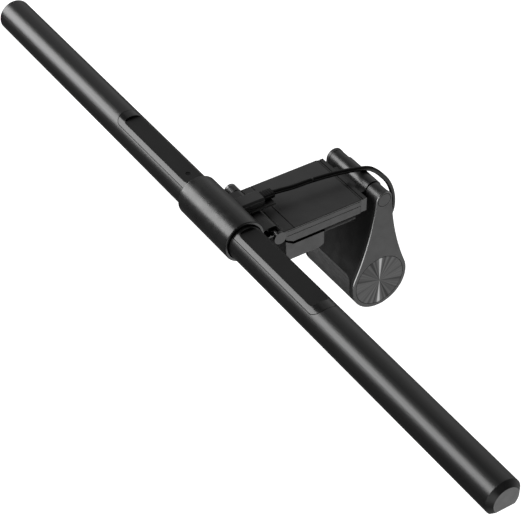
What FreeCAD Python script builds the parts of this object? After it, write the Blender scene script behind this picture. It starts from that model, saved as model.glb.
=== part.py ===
import FreeCAD, Part
import os
import re
import Sketcher
from FreeCAD import Placement, Rotation, Vector

# Monitor light bar, in millimetres. +X runs along the lamp tube, +Y points back over the screen, +Z is up.
# The origin is the middle of the face that rests on the screen's top edge. Every size and place below is
# measured from the tube's axis at the middle of the collar, and the helpers shift it to the origin.

SIZES = [
    # place of the tube's axis
    ("rest_back", 66.0, "tube axis to the middle of the rest face, backwards"),
    ("rest_drop", 19.6, "tube axis down to the rest face"),
    # lamp tube
    ("tube_half", 248.45, "half length of the extruded tube"),
    ("tube_radius", 10.6, "outer radius of the tube"),
    ("tube_wall", 1.2, "wall of the tube"),
    ("flat_drop", 8.2, "tube axis down to the flat underside"),
    ("diffuser_half", 6.2, "half width of the diffuser"),
    ("diffuser_thick", 1.2, "thickness of the diffuser"),
    ("cap_deep", 3.15, "length of an end cap outside the tube"),
    ("cap_bevel", 2.9, "bevel round the end cap"),
    ("spigot_deep", 6.0, "how far the cap's spigot enters the tube"),
    ("spigot_half", 4.6, "half width of the spigot"),
    ("spigot_low", 3.4, "tube axis down to the spigot's underside"),
    ("spigot_high", 7.6, "top of the spigot above the tube axis"),
    ("spigot_wall", 1.2, "wall of the hollow spigot"),
    ("seam", 0.05, "gap between two fitted covers"),
    ("trim_gap", 0.22, "open joint round a touch trim"),
    ("trim_inner", 20.0, "inner end of a touch trim, under the collar"),
    ("trim_outer", 104.3, "outer end of a touch trim"),
    ("trim_half", 7.94, "half width of a touch trim"),
    ("trim_corner", 5.5, "corner radius of a touch trim"),
    ("trim_floor", 7.2, "underside of the trim's floor above the axis"),
    ("trim_foot", 5.2, "underside of a touch trim above the axis"),
    ("trim_wall", 1.2, "wall of a touch trim"),
    ("pad_inner", 27.0, "inner end of a touch pad, just clear of the collar"),
    ("pad_outer", 98.0, "outer end of a touch pad"),
    ("pad_half", 5.7, "half width of a touch pad"),
    ("pad_corner", 3.0, "corner radius of a touch pad"),
    ("pad_under", 8.2, "underside of a touch pad above the axis"),
    ("pad_top", 9.05, "top of a touch pad above the axis"),
    ("sensor_place", 34.4, "light sensor, distance from the middle"),
    ("sensor_radius", 1.5, "radius of the light sensor window"),
    ("sensor_sunk", 0.3, "how far the sensor window lies below the touch pad"),
    ("board_half", 240.0, "half length of the LED board"),
    ("board_side", 7.3, "half width of the LED board"),
    ("board_under", 5.6, "tube axis down to the LED board's underside"),
    ("board_thick", 1.0, "thickness of the LED board"),
    ("rail_thick", 0.8, "thickness of the rails that hold the LED board"),
    ("rail_side", 6.4, "inner edge of the rails"),
    ("led_pitch", 10.0, "spacing of the LEDs"),
    ("led_side", 2.8, "side of an LED"),
    ("led_tall", 0.7, "height of an LED"),
    ("driver_inner", 12.0, "inner end of the driver board"),
    ("driver_outer", 92.0, "outer end of the driver board"),
    ("driver_half", 8.6, "half width of the driver board"),
    ("driver_thick", 1.2, "thickness of the driver board"),
    ("coil_radius", 3.2, "radius of the driver's coil"),
    ("coil_tall", 3.4, "height of the driver's coil"),
    ("capacitor_radius", 2.0, "radius of a capacitor"),
    ("capacitor_tall", 4.2, "height of a capacitor"),
    ("chip_side", 6.0, "side of a chip"),
    ("part_pitch", 6.0, "spacing of the capacitors"),
    # collar, its USB socket and the tilt hinge
    ("collar_half", 25.0, "half length of the collar"),
    ("collar_radius", 12.83, "outer radius of the collar"),
    ("collar_bore", 11.2, "inner radius of the collar"),
    ("collar_edge", 0.8, "rounding of the collar's rims"),
    ("bush_inner", 12.0, "inner end of a friction bush"),
    ("bush_outer", 19.0, "outer end of a friction bush"),
    ("bush_gap", 0.05, "running clearance of the tube in its bushes"),
    ("tilt_back", 22.5, "tilt hinge axis behind the tube axis"),
    ("tilt_drop", 6.6, "tilt hinge axis below the tube axis"),
    ("tilt_radius", 3.7, "outer radius of the tilt knuckle, and half the height of its neck"),
    ("tilt_half", 19.2, "half length of the tilt knuckle"),
    ("core_deep", 11.0, "depth of the hollow in each end of the neck"),
    ("core_front", 13.8, "front of the hollow behind the tube axis"),
    ("core_back", 20.4, "back of the hollow behind the tube axis"),
    ("core_wall", 0.9, "wall above and below the hollow"),
    ("pin_radius", 1.5, "radius of the tilt pin"),
    ("pin_gap", 0.05, "running clearance of a hinge pin"),
    ("ear_inner", 19.6, "inner face of a tilt ear"),
    ("ear_outer", 24.55, "outer face of a tilt ear"),
    ("ear_radius", 3.95, "outer radius of a tilt ear"),
    ("ear_flange", 23.9, "inner face of the ear's full ring, which holds the pin"),
    ("flange_radius", 3.2, "radius of that ring"),
    ("ear_mouth", 1.7, "front of the rest of the ear, behind the pin's axis"),
    ("head_outer", 26.4, "outer face of a tilt pin head"),
    ("head_radius", 3.95, "radius of a tilt pin head"),
    ("pin_short", 0.6, "how far the tilt pin stops short of its cap's face"),
    ("recess_radius", 2.9, "radius of the recess round the pin in each end of the tilt knuckle"),
    ("recess_deep", 3.0, "depth of that recess"),
    ("socket_place", -2.7, "socket and plug, offset along the tube"),
    ("socket_rise", 0.6, "socket and plug above the tube axis"),
    ("socket_wide", 9.0, "outer width of the socket shell"),
    ("socket_tall", 3.3, "outer height of the socket shell"),
    ("socket_wall", 0.3, "wall of the socket shell"),
    ("socket_front", 5.4, "inner end of the socket behind the axis"),
    ("socket_mouth", 12.6, "mouth of the socket behind the axis"),
    ("carrier_wide", 12.0, "width of the socket carrier"),
    ("carrier_tall", 4.4, "height of the socket carrier"),
    ("slot_front", 4.9, "front of the tube's slot for the carrier, behind the axis"),
    ("slot_low", 5.45, "tube axis down to the slot's foot"),
    ("slot_high", 7.2, "top of the slot above the tube axis"),
    ("slot_gap", 0.6, "room beside the carrier in the slot"),
    ("flex_thick", 0.2, "thickness of the flexible film"),
    ("tongue_wide", 6.7, "width of the socket's tongue"),
    ("tongue_thick", 0.7, "thickness of the socket's tongue"),
    ("plug_wide", 10.2, "width of the plug's moulded body"),
    ("plug_tall", 5.6, "height of the plug's moulded body"),
    ("plug_front", 13.0, "front of the moulded body behind the axis"),
    ("plug_back", 28.0, "back of the moulded body behind the axis"),
    ("plug_edge", 1.2, "edge rounding of the moulded body"),
    ("shelf_spread", 1.9, "how far the plug's lower shelf stands out on each side"),
    ("shelf_tall", 1.2, "height of the plug's lower shelf"),
    ("shelf_back", 34.0, "back end of the plug's lower shelf"),
    ("relief_back", 36.0, "back end of the strain relief"),
    ("relief_wide", 6.6, "width of the strain relief"),
    ("relief_tall", 4.6, "height of the strain relief if it were centred on the socket"),
    ("relief_edge", 1.0, "edge rounding of the strain relief"),
    ("lead_radius", 1.5, "radius of the lead"),
    ("knuckle_gap", 0.35, "gap between the lead and the middle knuckle it crosses"),
    ("cross_place", 2.2, "lead, offset along the tube where it crosses the middle knuckle"),
    # clip
    ("clip_half", 22.6, "half width of the clip"),
    ("clip_front", 28.6, "front of the clip"),
    ("cover_front", 27.5, "front of the cover, which stands out over the layers below it"),
    ("clip_back", 80.0, "back of the clip's three layers"),
    ("cover_top", 6.7, "tube axis down to the cover's top"),
    ("cover_under", 7.6, "tube axis down to the cover's underside"),
    ("cover_edge", 0.25, "bevel round the cover's top"),
    ("frame_under", 11.2, "tube axis down to the frame's underside"),
    ("base_under", 16.3, "tube axis down to the base's underside"),
    ("base_nose", 13.5, "tube axis down to the base's front corner"),
    ("nose_back", 33.8, "where the base's sloped nose meets its underside"),
    ("clip_wall", 2.0, "wall of the clip's housings"),
    ("nose_round", 1.2, "rounding of the base's nose and of the rubber pad's front"),
    ("screw_aside", 4.2, "clip screws, in from the clip's sides"),
    ("screw_front", 60.0, "front pair of clip screws behind the tube axis"),
    ("screw_back", 72.0, "rear pair of clip screws behind the tube axis"),
    ("screw_radius", 0.9, "radius of a clip screw"),
    ("screw_head", 2.0, "radius of a clip screw's head"),
    ("screw_sunk", 0.2, "how far a clip screw's head lies below the base"),
    ("seat_deep", 1.6, "depth of the seat of a clip screw's head"),
    ("hole_gap", 0.2, "gap round a clip screw in the base"),
    ("boss_radius", 2.6, "radius of a screw boss"),
    ("lip_screw_place", 10.0, "lip screws, out from the middle"),
    ("lip_screw_back", 44.0, "lip screws behind the tube axis"),
    ("lip_screw_radius", 1.25, "radius of a lip screw"),
    ("lip_screw_head", 2.4, "radius of a lip screw's head"),
    ("lip_screw_deep", 7.0, "how far a lip screw enters the lip"),
    ("lip_boss", 4.0, "height of a lip screw's boss in the base"),
    ("joint_wide", 0.3, "height of the open joint between two of the clip's housings"),
    ("joint_deep", 0.5, "depth of that joint"),
    ("groove_wide", 0.5, "width of the grooves in the cover and the rear block"),
    ("groove_deep", 0.5, "depth of those grooves"),
    ("front_groove", 34.0, "front groove, in the cover"),
    ("rear_groove", 81.3, "rear groove, in the rear block"),
    ("knuckle_back", 84.2, "back of the rear block"),
    ("knuckle_inset", 0.35, "how much the rear block is inset"),
    ("under_front", 55.2, "front of the rubber pad under the clip"),
    ("under_back", 76.5, "back of the rubber pad under the clip"),
    ("lip_back", 54.8, "rear face of the lip"),
    ("lip_top", 18.2, "tube axis down to the lip's top"),
    ("lip_low", 28.8, "tube axis down to the lip's underside"),
    ("lip_slit", 1.3, "open slit between the base's nose and the lip"),
    ("lip_lean", 0.6, "how far the lip's front leans back"),
    ("lip_front_foot", 3.2, "height of the lip's sloped front foot"),
    ("lip_foot", 3.0, "how far the lip's flat underside stays in from its front and rear"),
    ("lip_back_foot", 1.6, "height of the lip's sloped rear foot"),
    ("lip_round", 1.0, "rounding of the lip's lower edges"),
    ("riser_half", 15.0, "half width of the boss that carries the lip"),
    ("riser_front", 38.0, "front of that boss"),
    ("riser_back", 51.0, "back of that boss"),
    ("lip_pad_half", 18.0, "half width of the recess for the lip's soft pad"),
    ("lip_pad_top", 20.3, "tube axis down to the recess's top"),
    ("lip_pad_low", 26.2, "tube axis down to the recess's foot"),
    ("lip_pad_thick", 0.8, "thickness of the lip's soft pad"),
    # rear hinge and counterweight
    ("swing_back", 94.5, "rear hinge axis behind the tube axis"),
    ("swing_drop", 11.1, "rear hinge axis below the tube axis"),
    ("middle_radius", 5.9, "outer radius of the middle knuckle"),
    ("middle_half", 13.8, "half length of the middle knuckle"),
    ("arm_low", 4.4, "underside of the hinge arm below the rear hinge axis"),
    ("arm_high", 1.6, "top of the hinge arm above the rear hinge axis"),
    ("side_radius", 5.3, "outer radius of the outer knuckles"),
    ("side_inner", 14.2, "inner face of an outer knuckle"),
    ("shell_half", 22.9, "half width of the counterweight's shell"),
    ("cheek_outer", 25.4, "outer face of a cheek"),
    ("cheek_edge", 0.35, "bevel round a cheek"),
    ("rear_pin_radius", 2.0, "radius of the rear hinge pin"),
    ("rear_washer_radius", 4.8, "radius of a washer beside the middle knuckle"),
    ("washer_gap", 0.05, "running clearance beside a washer"),
    ("bob_back", 94.0, "middle of the round weight behind the tube axis"),
    ("bob_drop", 71.2, "middle of the round weight below the tube axis"),
    ("bob_radius", 19.5, "radius of the cheeks round the weight"),
    ("shell_inset", 0.2, "how much the shell is inset from the cheeks"),
    ("flank_radius", 170.0, "radius of the hollow flanks between hinge and weight"),
    ("slug_radius", 15.4, "radius of the steel slug"),
    ("slug_half", 20.2, "half length of the steel slug"),
    ("cavity_gap", 0.1, "gap round the steel slug"),
    ("shaft_half", 4.5, "half depth of the hollow above the slug"),
    ("shaft_top", 24.6, "tube axis down to that hollow's top"),
    ("notch_low", 20.6, "tube axis down to the foot of the hinge notch"),
    ("seam_plane", 98.0, "front of the rear cover"),
    ("seam_top", 28.0, "tube axis down to the rear cover's top"),
    ("seam_foot", 8.0, "foot of the rear cover below the weight's middle"),
    ("cover_inset", 2.0, "rear cover, in from the shell's sides"),
    ("cover_gap", 0.1, "gap round the rear cover"),
    ("disc_radius", 16.75, "radius of a spun disc"),
    ("disc_thick", 0.6, "thickness of a spun disc"),
    ("disc_gap", 0.3, "groove round a spun disc"),
    ("cheek_screw_high", 12.6, "upper cheek screw above the weight's middle"),
    ("cheek_screw_aside", 12.0, "lower cheek screws, in front of and behind the weight's middle"),
    ("cheek_screw_low", 3.0, "lower cheek screws below the weight's middle"),
    ("cheek_screw_radius", 0.95, "radius of a cheek screw"),
    ("cheek_screw_head", 1.9, "radius of a cheek screw's head"),
    ("cheek_head_deep", 1.0, "height of a cheek screw's head"),
    ("pivot_cap_radius", 4.2, "radius of a pivot cap"),
    ("cap_gap", 0.3, "groove round a pivot cap"),
    ("screen_pad_half", 22.0, "half width of the soft pad on the weight"),
    ("screen_pad_top", 64.2, "tube axis down to the soft pad's top edge"),
    ("screen_pad_low", 86.0, "tube axis down to the soft pad's lower edge"),
    ("screen_pad_corner", 5.0, "corner radius of the soft pad"),
    ("screen_pad_thick", 1.0, "thickness of the soft pad"),
    # USB-A plug at the lead's free end
    ("a_place", -8.0, "USB-A plug, offset along the tube"),
    ("a_back", 118.4, "USB-A plug behind the tube axis"),
    ("a_top", 75.0, "tube axis down to the USB-A plug's top"),
    ("a_wide", 15.0, "width of the USB-A plug's moulded body"),
    ("a_thick", 7.6, "thickness of the USB-A plug's moulded body"),
    ("a_long", 22.0, "length of the USB-A plug's moulded body"),
    ("a_shell_wide", 12.0, "width of the USB-A metal shell"),
    ("a_shell_thick", 4.5, "thickness of the USB-A metal shell"),
    ("a_shell_long", 12.0, "free length of the USB-A metal shell"),
    ("a_shell_wall", 0.4, "wall of the USB-A metal shell"),
    ("a_round", 1.2, "rounding of the USB-A plug's corners"),
]

FAR = 1200.0  # longer than the whole object, for tools that cut right through

doc = FreeCAD.newDocument("MonitorLightBar")
dims = doc.addObject("Spreadsheet::Sheet", "Dims")
for row, (word, number, note) in enumerate(SIZES, start=1):
    dims.set(f"A{row}", note)
    dims.set(f"B{row}", str(number))
    dims.setAlias(f"B{row}", word)
doc.recompute()

WORDS = {word for word, _, _ in SIZES}
AXIS_SHIFT = {  # what carries the tube's axis to its place, in each origin plane's own directions
    "YZ_Plane": ("-rest_back", "rest_drop", "0"),
    "XY_Plane": ("0", "-rest_back", "rest_drop"),
    "XZ_Plane": ("0", "rest_drop", "rest_back"),
}
subparts = []


# ---- small helpers -------------------------------------------------------------------------------------

def bound(expression):
    """The expression with every size name pointing at its cell in the sheet."""
    def cell(match):
        return "Dims." + match.group(0) if match.group(0) in WORDS else match.group(0)
    return re.sub(r"[a-z_]+", cell, str(expression))


def size(expression):
    """The value of an expression of size names."""
    return float(dims.evalExpression(str(expression)))


TUBE_AXIS = Vector(0, -size("rest_back"), size("rest_drop"))


def move(thing, x=0, y=0, z=0):
    """Bind the thing's position to the sheet."""
    for axis, expression in zip("xyz", (x, f"{y} - rest_back", f"{z} + rest_drop")):
        thing.setExpression("Placement.Base." + axis, bound(expression))
    return thing


def box(name, x, y, z):
    """A block between a low and a high expression on each axis."""
    block = doc.addObject("Part::Box", name)
    for side, (low, high) in zip(("Length", "Width", "Height"), (x, y, z)):
        block.setExpression(side, bound(f"({high}) - ({low})"))
    return move(block, x[0], y[0], z[0])


def rod(name, radius, x, y=0, z=0):
    """A round bar along X."""
    bar = doc.addObject("Part::Cylinder", name)
    bar.Placement = Placement(Vector(), Rotation(Vector(0, 1, 0), 90))
    bar.setExpression("Radius", bound(radius))
    bar.setExpression("Height", bound(f"({x[1]}) - ({x[0]})"))
    return move(bar, x[0], y, z)


def peg(name, radius, z, x=0, y=0):
    """A round bar along Z."""
    bar = doc.addObject("Part::Cylinder", name)
    bar.setExpression("Radius", bound(radius))
    bar.setExpression("Height", bound(f"({z[1]}) - ({z[0]})"))
    return move(bar, x, y, z[0])


def fuse(name, *shapes):
    union = doc.addObject("Part::MultiFuse", name)
    union.Shapes = list(shapes)
    union.Refine = True
    return union


def common(name, first, second):
    overlap = doc.addObject("Part::Common", name)
    overlap.Base = first
    overlap.Tool = second
    overlap.Refine = True
    return overlap


def cut(name, base, *tools):
    """The base with each tool taken away in turn."""
    for number, tool in enumerate(tools, start=1):
        last = number == len(tools)
        result = doc.addObject("Part::Cut", name if last else f"{name}_step_{number}")
        result.Base = base
        result.Tool = tool
        result.Refine = True
        base = result
    return base


def group(name, shapes):
    """Several separate solids in one node."""
    bundle = doc.addObject("Part::Compound", name)
    bundle.Links = list(shapes)
    return bundle


def mirrored(name, source):
    """The source reflected to the other side of the middle plane X = 0."""
    twin = doc.addObject("Part::Mirroring", name)
    twin.Source = source
    twin.Normal = Vector(1, 0, 0)
    return twin


def subpart(thing, label):
    """Mark a finished piece. Its label names its file."""
    thing.Label = label
    subparts.append(thing)
    return thing


# ---- sketch-based bodies -------------------------------------------------------------------------------

def new_body(name):
    return doc.addObject("PartDesign::Body", name)


def new_sketch(body, plane, level=0):
    """A sketch on one of the body's origin planes, raised along its normal. Its zero lies on the tube's axis."""
    sketch = body.newObject("Sketcher::SketchObject", f"{body.Name}_sketch")
    support = next(item for item in body.Origin.OriginFeatures if item.Role == plane)
    sketch.AttachmentSupport = [(support, "")]
    sketch.MapMode = "FlatFace"
    across, up, out = AXIS_SHIFT[plane]
    sketch.setExpression("AttachmentOffset.Base.x", bound(across))
    sketch.setExpression("AttachmentOffset.Base.y", bound(up))
    sketch.setExpression("AttachmentOffset.Base.z", bound(f"{level} + {out}"))
    return sketch


def constrain(sketch, kind, *elements, to=None):
    """Add a constraint, bound to an expression if one is given."""
    if to is None:
        sketch.addConstraint(Sketcher.Constraint(kind, *elements))
        return
    number = sketch.addConstraint(Sketcher.Constraint(kind, *elements, size(to)))
    label = f"size{number}"
    sketch.renameConstraint(number, label)
    sketch.setExpression(f"Constraints.{label}", bound(to))


def draw_corners(sketch, corners):
    """A closed outline of straight sides through the corners."""
    count = len(corners)
    points = [Vector(size(across), size(up), 0) for across, up in corners]
    for side in range(count):
        sketch.addGeometry(Part.LineSegment(points[side], points[(side + 1) % count]))
    for side in range(count):
        constrain(sketch, "Coincident", side, 2, (side + 1) % count, 1)
    for side, (across, up) in enumerate(corners):
        constrain(sketch, "DistanceX", -1, 1, side, 1, to=across)
        constrain(sketch, "DistanceY", -1, 1, side, 1, to=up)


def draw_circle(sketch, radius, across=0, up=0):
    centre = Vector(size(across), size(up), 0)
    sketch.addGeometry(Part.Circle(centre, Vector(0, 0, 1), size(radius)))
    constrain(sketch, "DistanceX", -1, 1, 0, 3, to=across)
    constrain(sketch, "DistanceY", -1, 1, 0, 3, to=up)
    constrain(sketch, "Radius", 0, to=radius)


def draw_flat_bottomed(sketch, radius, drop):
    """A circle round the origin with its underside cut flat."""
    circle = Part.Circle(Vector(), Vector(0, 0, 1), size(radius))
    half = (size(radius) ** 2 - size(drop) ** 2) ** 0.5
    right = Vector(half, -size(drop), 0)
    left = Vector(-half, -size(drop), 0)
    sketch.addGeometry(Part.ArcOfCircle(circle, circle.parameter(right), circle.parameter(left)))
    sketch.addGeometry(Part.LineSegment(left, right))
    constrain(sketch, "Coincident", 0, 3, -1, 1)
    constrain(sketch, "Coincident", 0, 2, 1, 1)
    constrain(sketch, "Coincident", 0, 1, 1, 2)
    constrain(sketch, "Horizontal", 1)
    constrain(sketch, "Radius", 0, to=radius)
    constrain(sketch, "DistanceY", -1, 1, 1, 1, to=f"-({drop})")


def pad(body, plane, span, draw, *sizes):
    """Extrude a drawn outline along the plane's normal, between two levels."""
    low, high = span
    sketch = new_sketch(body, plane, low)
    draw(sketch, *sizes)
    feature = body.newObject("PartDesign::Pad", f"{body.Name}_extrusion")
    feature.Profile = sketch
    feature.setExpression("Length", bound(f"({high}) - ({low})"))
    feature.Refine = True
    return feature


def pocket_through(body, plane, draw, *sizes):
    """Cut a drawn outline right through the body, both ways from the plane."""
    sketch = new_sketch(body, plane)
    draw(sketch, *sizes)
    feature = body.newObject("PartDesign::Pocket", f"{body.Name}_pocket")
    feature.Profile = sketch
    feature.SideType = "Symmetric"
    feature.Length = FAR
    feature.Refine = True
    return feature


def pocket_down(body, span, draw, *sizes):
    """Cut a drawn plan outline downwards, from the upper level to the lower."""
    low, high = span
    sketch = new_sketch(body, "XY_Plane", high)
    draw(sketch, *sizes)
    feature = body.newObject("PartDesign::Pocket", f"{body.Name}_pocket")
    feature.Profile = sketch
    feature.setExpression("Length", bound(f"({high}) - ({low})"))
    feature.Refine = True
    return feature


def edges_where(feature, test):
    """The names of the edges that pass a test on their middle, from the tube's axis, and their direction."""
    doc.recompute()
    names = []
    for number, edge in enumerate(feature.Shape.Edges, start=1):
        middle = edge.valueAt((edge.FirstParameter + edge.LastParameter) / 2) - TUBE_AXIS
        start, end = edge.Vertexes[0].Point, edge.Vertexes[-1].Point
        if test(middle, (end - start)):
            names.append(f"Edge{number}")
    return names


def round_edges(body, feature, radius, test):
    fillet = body.newObject("PartDesign::Fillet", f"{body.Name}_fillet")
    fillet.Base = (feature, edges_where(feature, test))
    fillet.setExpression("Radius", bound(radius))
    return fillet


def bevel_edges(body, feature, width, test):
    chamfer = body.newObject("PartDesign::Chamfer", f"{body.Name}_chamfer")
    chamfer.Base = (feature, edges_where(feature, test))
    chamfer.setExpression("Size", bound(width))
    return chamfer


def upright(direction):
    return abs(direction.z) > 0.1 and abs(direction.x) + abs(direction.y) < 1e-6


def along_x(direction):
    return abs(direction.x) > 0.1 and abs(direction.y) + abs(direction.z) < 1e-6


def rectangle(x, y):
    """Corner expressions of a rectangle, going round it."""
    return [(x[0], y[0]), (x[1], y[0]), (x[1], y[1]), (x[0], y[1])]


def rounded_slab(name, x, half_width, z, corner, ends=1):
    """A slab lying flat, with the corners rounded at its outer end, or at both ends."""
    body = new_body(name)
    outline = rectangle(x, (f"-({half_width})", half_width))
    slab = pad(body, "XY_Plane", z, draw_corners, outline)
    inner = size(x[0])
    round_edges(body, slab, corner, lambda middle, way: upright(way) and (ends == 2 or middle.x > inner + 1))
    return body


# ---- lamp tube -----------------------------------------------------------------------------------------

def tube_extrusion():
    """The extruded profile: a flat-bottomed tube open along its underside."""
    body = new_body("tube")
    ends = ("-tube_half", "tube_half")
    pad(body, "YZ_Plane", ends, draw_flat_bottomed, "tube_radius", "flat_drop")
    inner = ("tube_radius - tube_wall", "flat_drop - diffuser_thick")
    pocket_through(body, "YZ_Plane", draw_flat_bottomed, *inner)
    slot_y = ("-diffuser_half - seam", "diffuser_half + seam")
    slot = rectangle(slot_y, ("-flat_drop - 1", "-board_under - 1"))
    pocket_through(body, "YZ_Plane", draw_corners, slot)
    return body


def board_rails():
    """Two pairs of rails inside the tube that hold the LED board."""
    rails = []
    ends = ("-tube_half", "tube_half")
    heights = {
        "upper": ("board_thick - board_under + seam", "board_thick - board_under + seam + rail_thick"),
        "lower": ("-board_under - seam - rail_thick", "-board_under - seam"),
    }
    for level, z in heights.items():
        for side, sign in (("left", -1), ("right", 1)):
            y = ("rail_side", "tube_radius") if sign > 0 else ("-tube_radius", "-rail_side")
            rails.append(box(f"rail_{level}_{side}", ends, y, z))
    inside = rod("rail_limit", "tube_radius - tube_wall / 2", ends)
    return common("rails", fuse("rail_blocks", *rails), inside)


def touch_opening(name, gap):
    """The space of one touch trim, widened by a gap."""
    x = (f"trim_inner - ({gap})", f"trim_outer + ({gap})")
    return rounded_slab(name, x, f"trim_half + ({gap})", ("trim_foot", "tube_radius + 1"), "trim_corner")


def bar_housing():
    right = touch_opening("touch_opening_right", "trim_gap")
    left = mirrored("touch_opening_left", right)
    slot_x = ("socket_place - carrier_wide / 2 - slot_gap", "socket_place + carrier_wide / 2 + slot_gap")
    slot = box("carrier_slot", slot_x, ("slot_front", "tube_radius + 1"), ("-slot_low", "slot_high"))
    whole = fuse("tube_with_rails", tube_extrusion(), board_rails())
    subpart(cut("bar_housing_solid", whole, right, left, slot), "bar_housing")


def diffuser():
    ends = ("-tube_half", "tube_half")
    width = ("-diffuser_half", "diffuser_half")
    subpart(box("diffuser_strip", ends, width, ("-flat_drop", "diffuser_thick - flat_drop")), "diffuser")


def end_caps():
    """Bevelled flat-bottomed caps, each with a spigot that is a tight fit in the tube."""
    foot = "tube_half + cap_deep - cap_bevel"
    face = "tube_half + cap_deep"
    collar = rod("cap_band", "tube_radius", ("tube_half", foot))
    cone = doc.addObject("Part::Cone", "cap_cone")
    cone.Placement = Placement(Vector(), Rotation(Vector(0, 1, 0), 90))
    cone.setExpression("Radius1", bound("tube_radius"))
    cone.setExpression("Radius2", bound("tube_radius - cap_bevel"))
    cone.setExpression("Height", bound("cap_bevel"))
    move(cone, foot)
    side = new_body("cap_side")
    outline = [
        ("tube_half", "-flat_drop"), (foot, "-flat_drop"), (face, "cap_bevel - flat_drop"),
        (face, "tube_radius + 1"), ("tube_half", "tube_radius + 1"),
    ]
    pad(side, "XZ_Plane", ("-tube_radius - 1", "tube_radius + 1"), draw_corners, outline)
    shell = common("cap_shell", fuse("cap_round", collar, cone), side)
    spigot = box("cap_spigot", ("tube_half - spigot_deep", "tube_half"),
                 ("-spigot_half", "spigot_half"), ("-spigot_low", "spigot_high"))
    hollow = box("cap_hollow", ("tube_half - spigot_deep - 1", "tube_half"),
                 ("spigot_wall - spigot_half", "spigot_half - spigot_wall"),
                 ("spigot_wall - spigot_low", "spigot_high - spigot_wall"))
    right = fuse("end_cap_right_solid", shell, cut("cap_plug", spigot, hollow))
    subpart(right, "end_cap_right")
    subpart(mirrored("end_cap_left_solid", right), "end_cap_left")


def sensor_hole(name):
    return peg(name, "sensor_radius + seam", ("trim_foot - 1", "tube_radius + 1"), "-sensor_place")


def touch_trims():
    """Inserts that carry the tube's round surface on, with a flat recess for the touch pad."""
    block = touch_opening("trim_block", 0)
    rounded = common("trim_round", block, rod("trim_limit", "tube_radius", ("trim_inner", "trim_outer")))
    recess_x = ("pad_inner - seam", "pad_outer + seam")
    recess_z = ("pad_under", "tube_radius + 1")
    recess = rounded_slab("trim_recess", recess_x, "pad_half + seam", recess_z, "pad_corner", 2)
    hollow_x = ("trim_inner + 2", "pad_outer + 2")
    hollow_y = ("trim_wall - trim_half", "trim_half - trim_wall")
    hollow = box("trim_hollow", hollow_x, hollow_y, ("trim_foot - 1", "trim_floor"))
    right = cut("touch_trim_right_solid", rounded, recess, hollow)
    subpart(right, "touch_trim_right")
    hole = sensor_hole("trim_sensor_hole")
    subpart(cut("touch_trim_left_solid", mirrored("trim_mirror", right), hole), "touch_trim_left")


def touch_pads():
    x = ("pad_inner", "pad_outer")
    right = rounded_slab("pad_right", x, "pad_half", ("pad_under", "pad_top"), "pad_corner", 2)
    subpart(right, "touch_pad_right")
    hole = sensor_hole("pad_sensor_hole")
    subpart(cut("touch_pad_left_solid", mirrored("pad_mirror", right), hole), "touch_pad_left")
    window = peg("sensor_window", "sensor_radius", ("trim_floor", "pad_top - sensor_sunk"), "-sensor_place")
    subpart(window, "light_sensor")


def touch_boards():
    x = ("trim_inner + 4", "pad_outer - 2")
    right = box("board_right", x, ("-trim_half + 1.6", "trim_half - 1.6"), ("trim_floor - 1", "trim_floor"))
    subpart(right, "touch_board_right")
    subpart(mirrored("board_left", right), "touch_board_left")


def led_strip():
    ends = ("-board_half", "board_half")
    under = "-board_under"
    board = box("led_plate", ends, ("-board_side", "board_side"), (under, f"{under} + board_thick"))
    subpart(board, "led_board")
    chips = []
    count = int(2 * size("board_half") / size("led_pitch")) - 1
    for number in range(count):
        centre = f"({number} - {count - 1} / 2) * led_pitch"
        x = (f"{centre} - led_side / 2", f"{centre} + led_side / 2")
        y = ("-led_side / 2", "led_side / 2")
        chips.append(box(f"led_{number}", x, y, (f"{under} - led_tall", under)))
    subpart(group("led_row", chips), "leds")


def control_board():
    """The driver board and its parts, beside the collar."""
    board = box("driver_plate", ("driver_inner", "driver_outer"), ("-driver_half", "driver_half"),
                ("-driver_thick", 0))
    subpart(board, "control_board")
    connector = box("flex_connector", ("driver_inner + 2", "driver_inner + chip_side"),
                    ("-chip_side / 2", "chip_side / 2"), (0, 1.4))
    coil = peg("coil", "coil_radius", (0, "coil_tall"), "driver_inner + 20")
    capacitors = []
    chips = []
    for number in range(3):
        place = f"driver_inner + 32 + {number} * part_pitch"
        capacitors.append(peg(f"capacitor_{number}", "capacitor_radius", (0, "capacitor_tall"), place, 4))
        low = f"driver_inner + 32 + {number} * (part_pitch + 8)"
        chips.append(box(f"chip_{number}", (low, f"{low} + chip_side"), ("-chip_side", 0), (0, 1)))
    subpart(group("driver_parts", [connector, coil, *capacitors, *chips]), "board_parts")


# ---- collar --------------------------------------------------------------------------------------------

def socket_span(width, height):
    """Low and high X and Z of something centred on the socket."""
    x = (f"socket_place - ({width}) / 2", f"socket_place + ({width}) / 2")
    z = (f"socket_rise - ({height}) / 2", f"socket_rise + ({height}) / 2")
    return x, z


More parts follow.
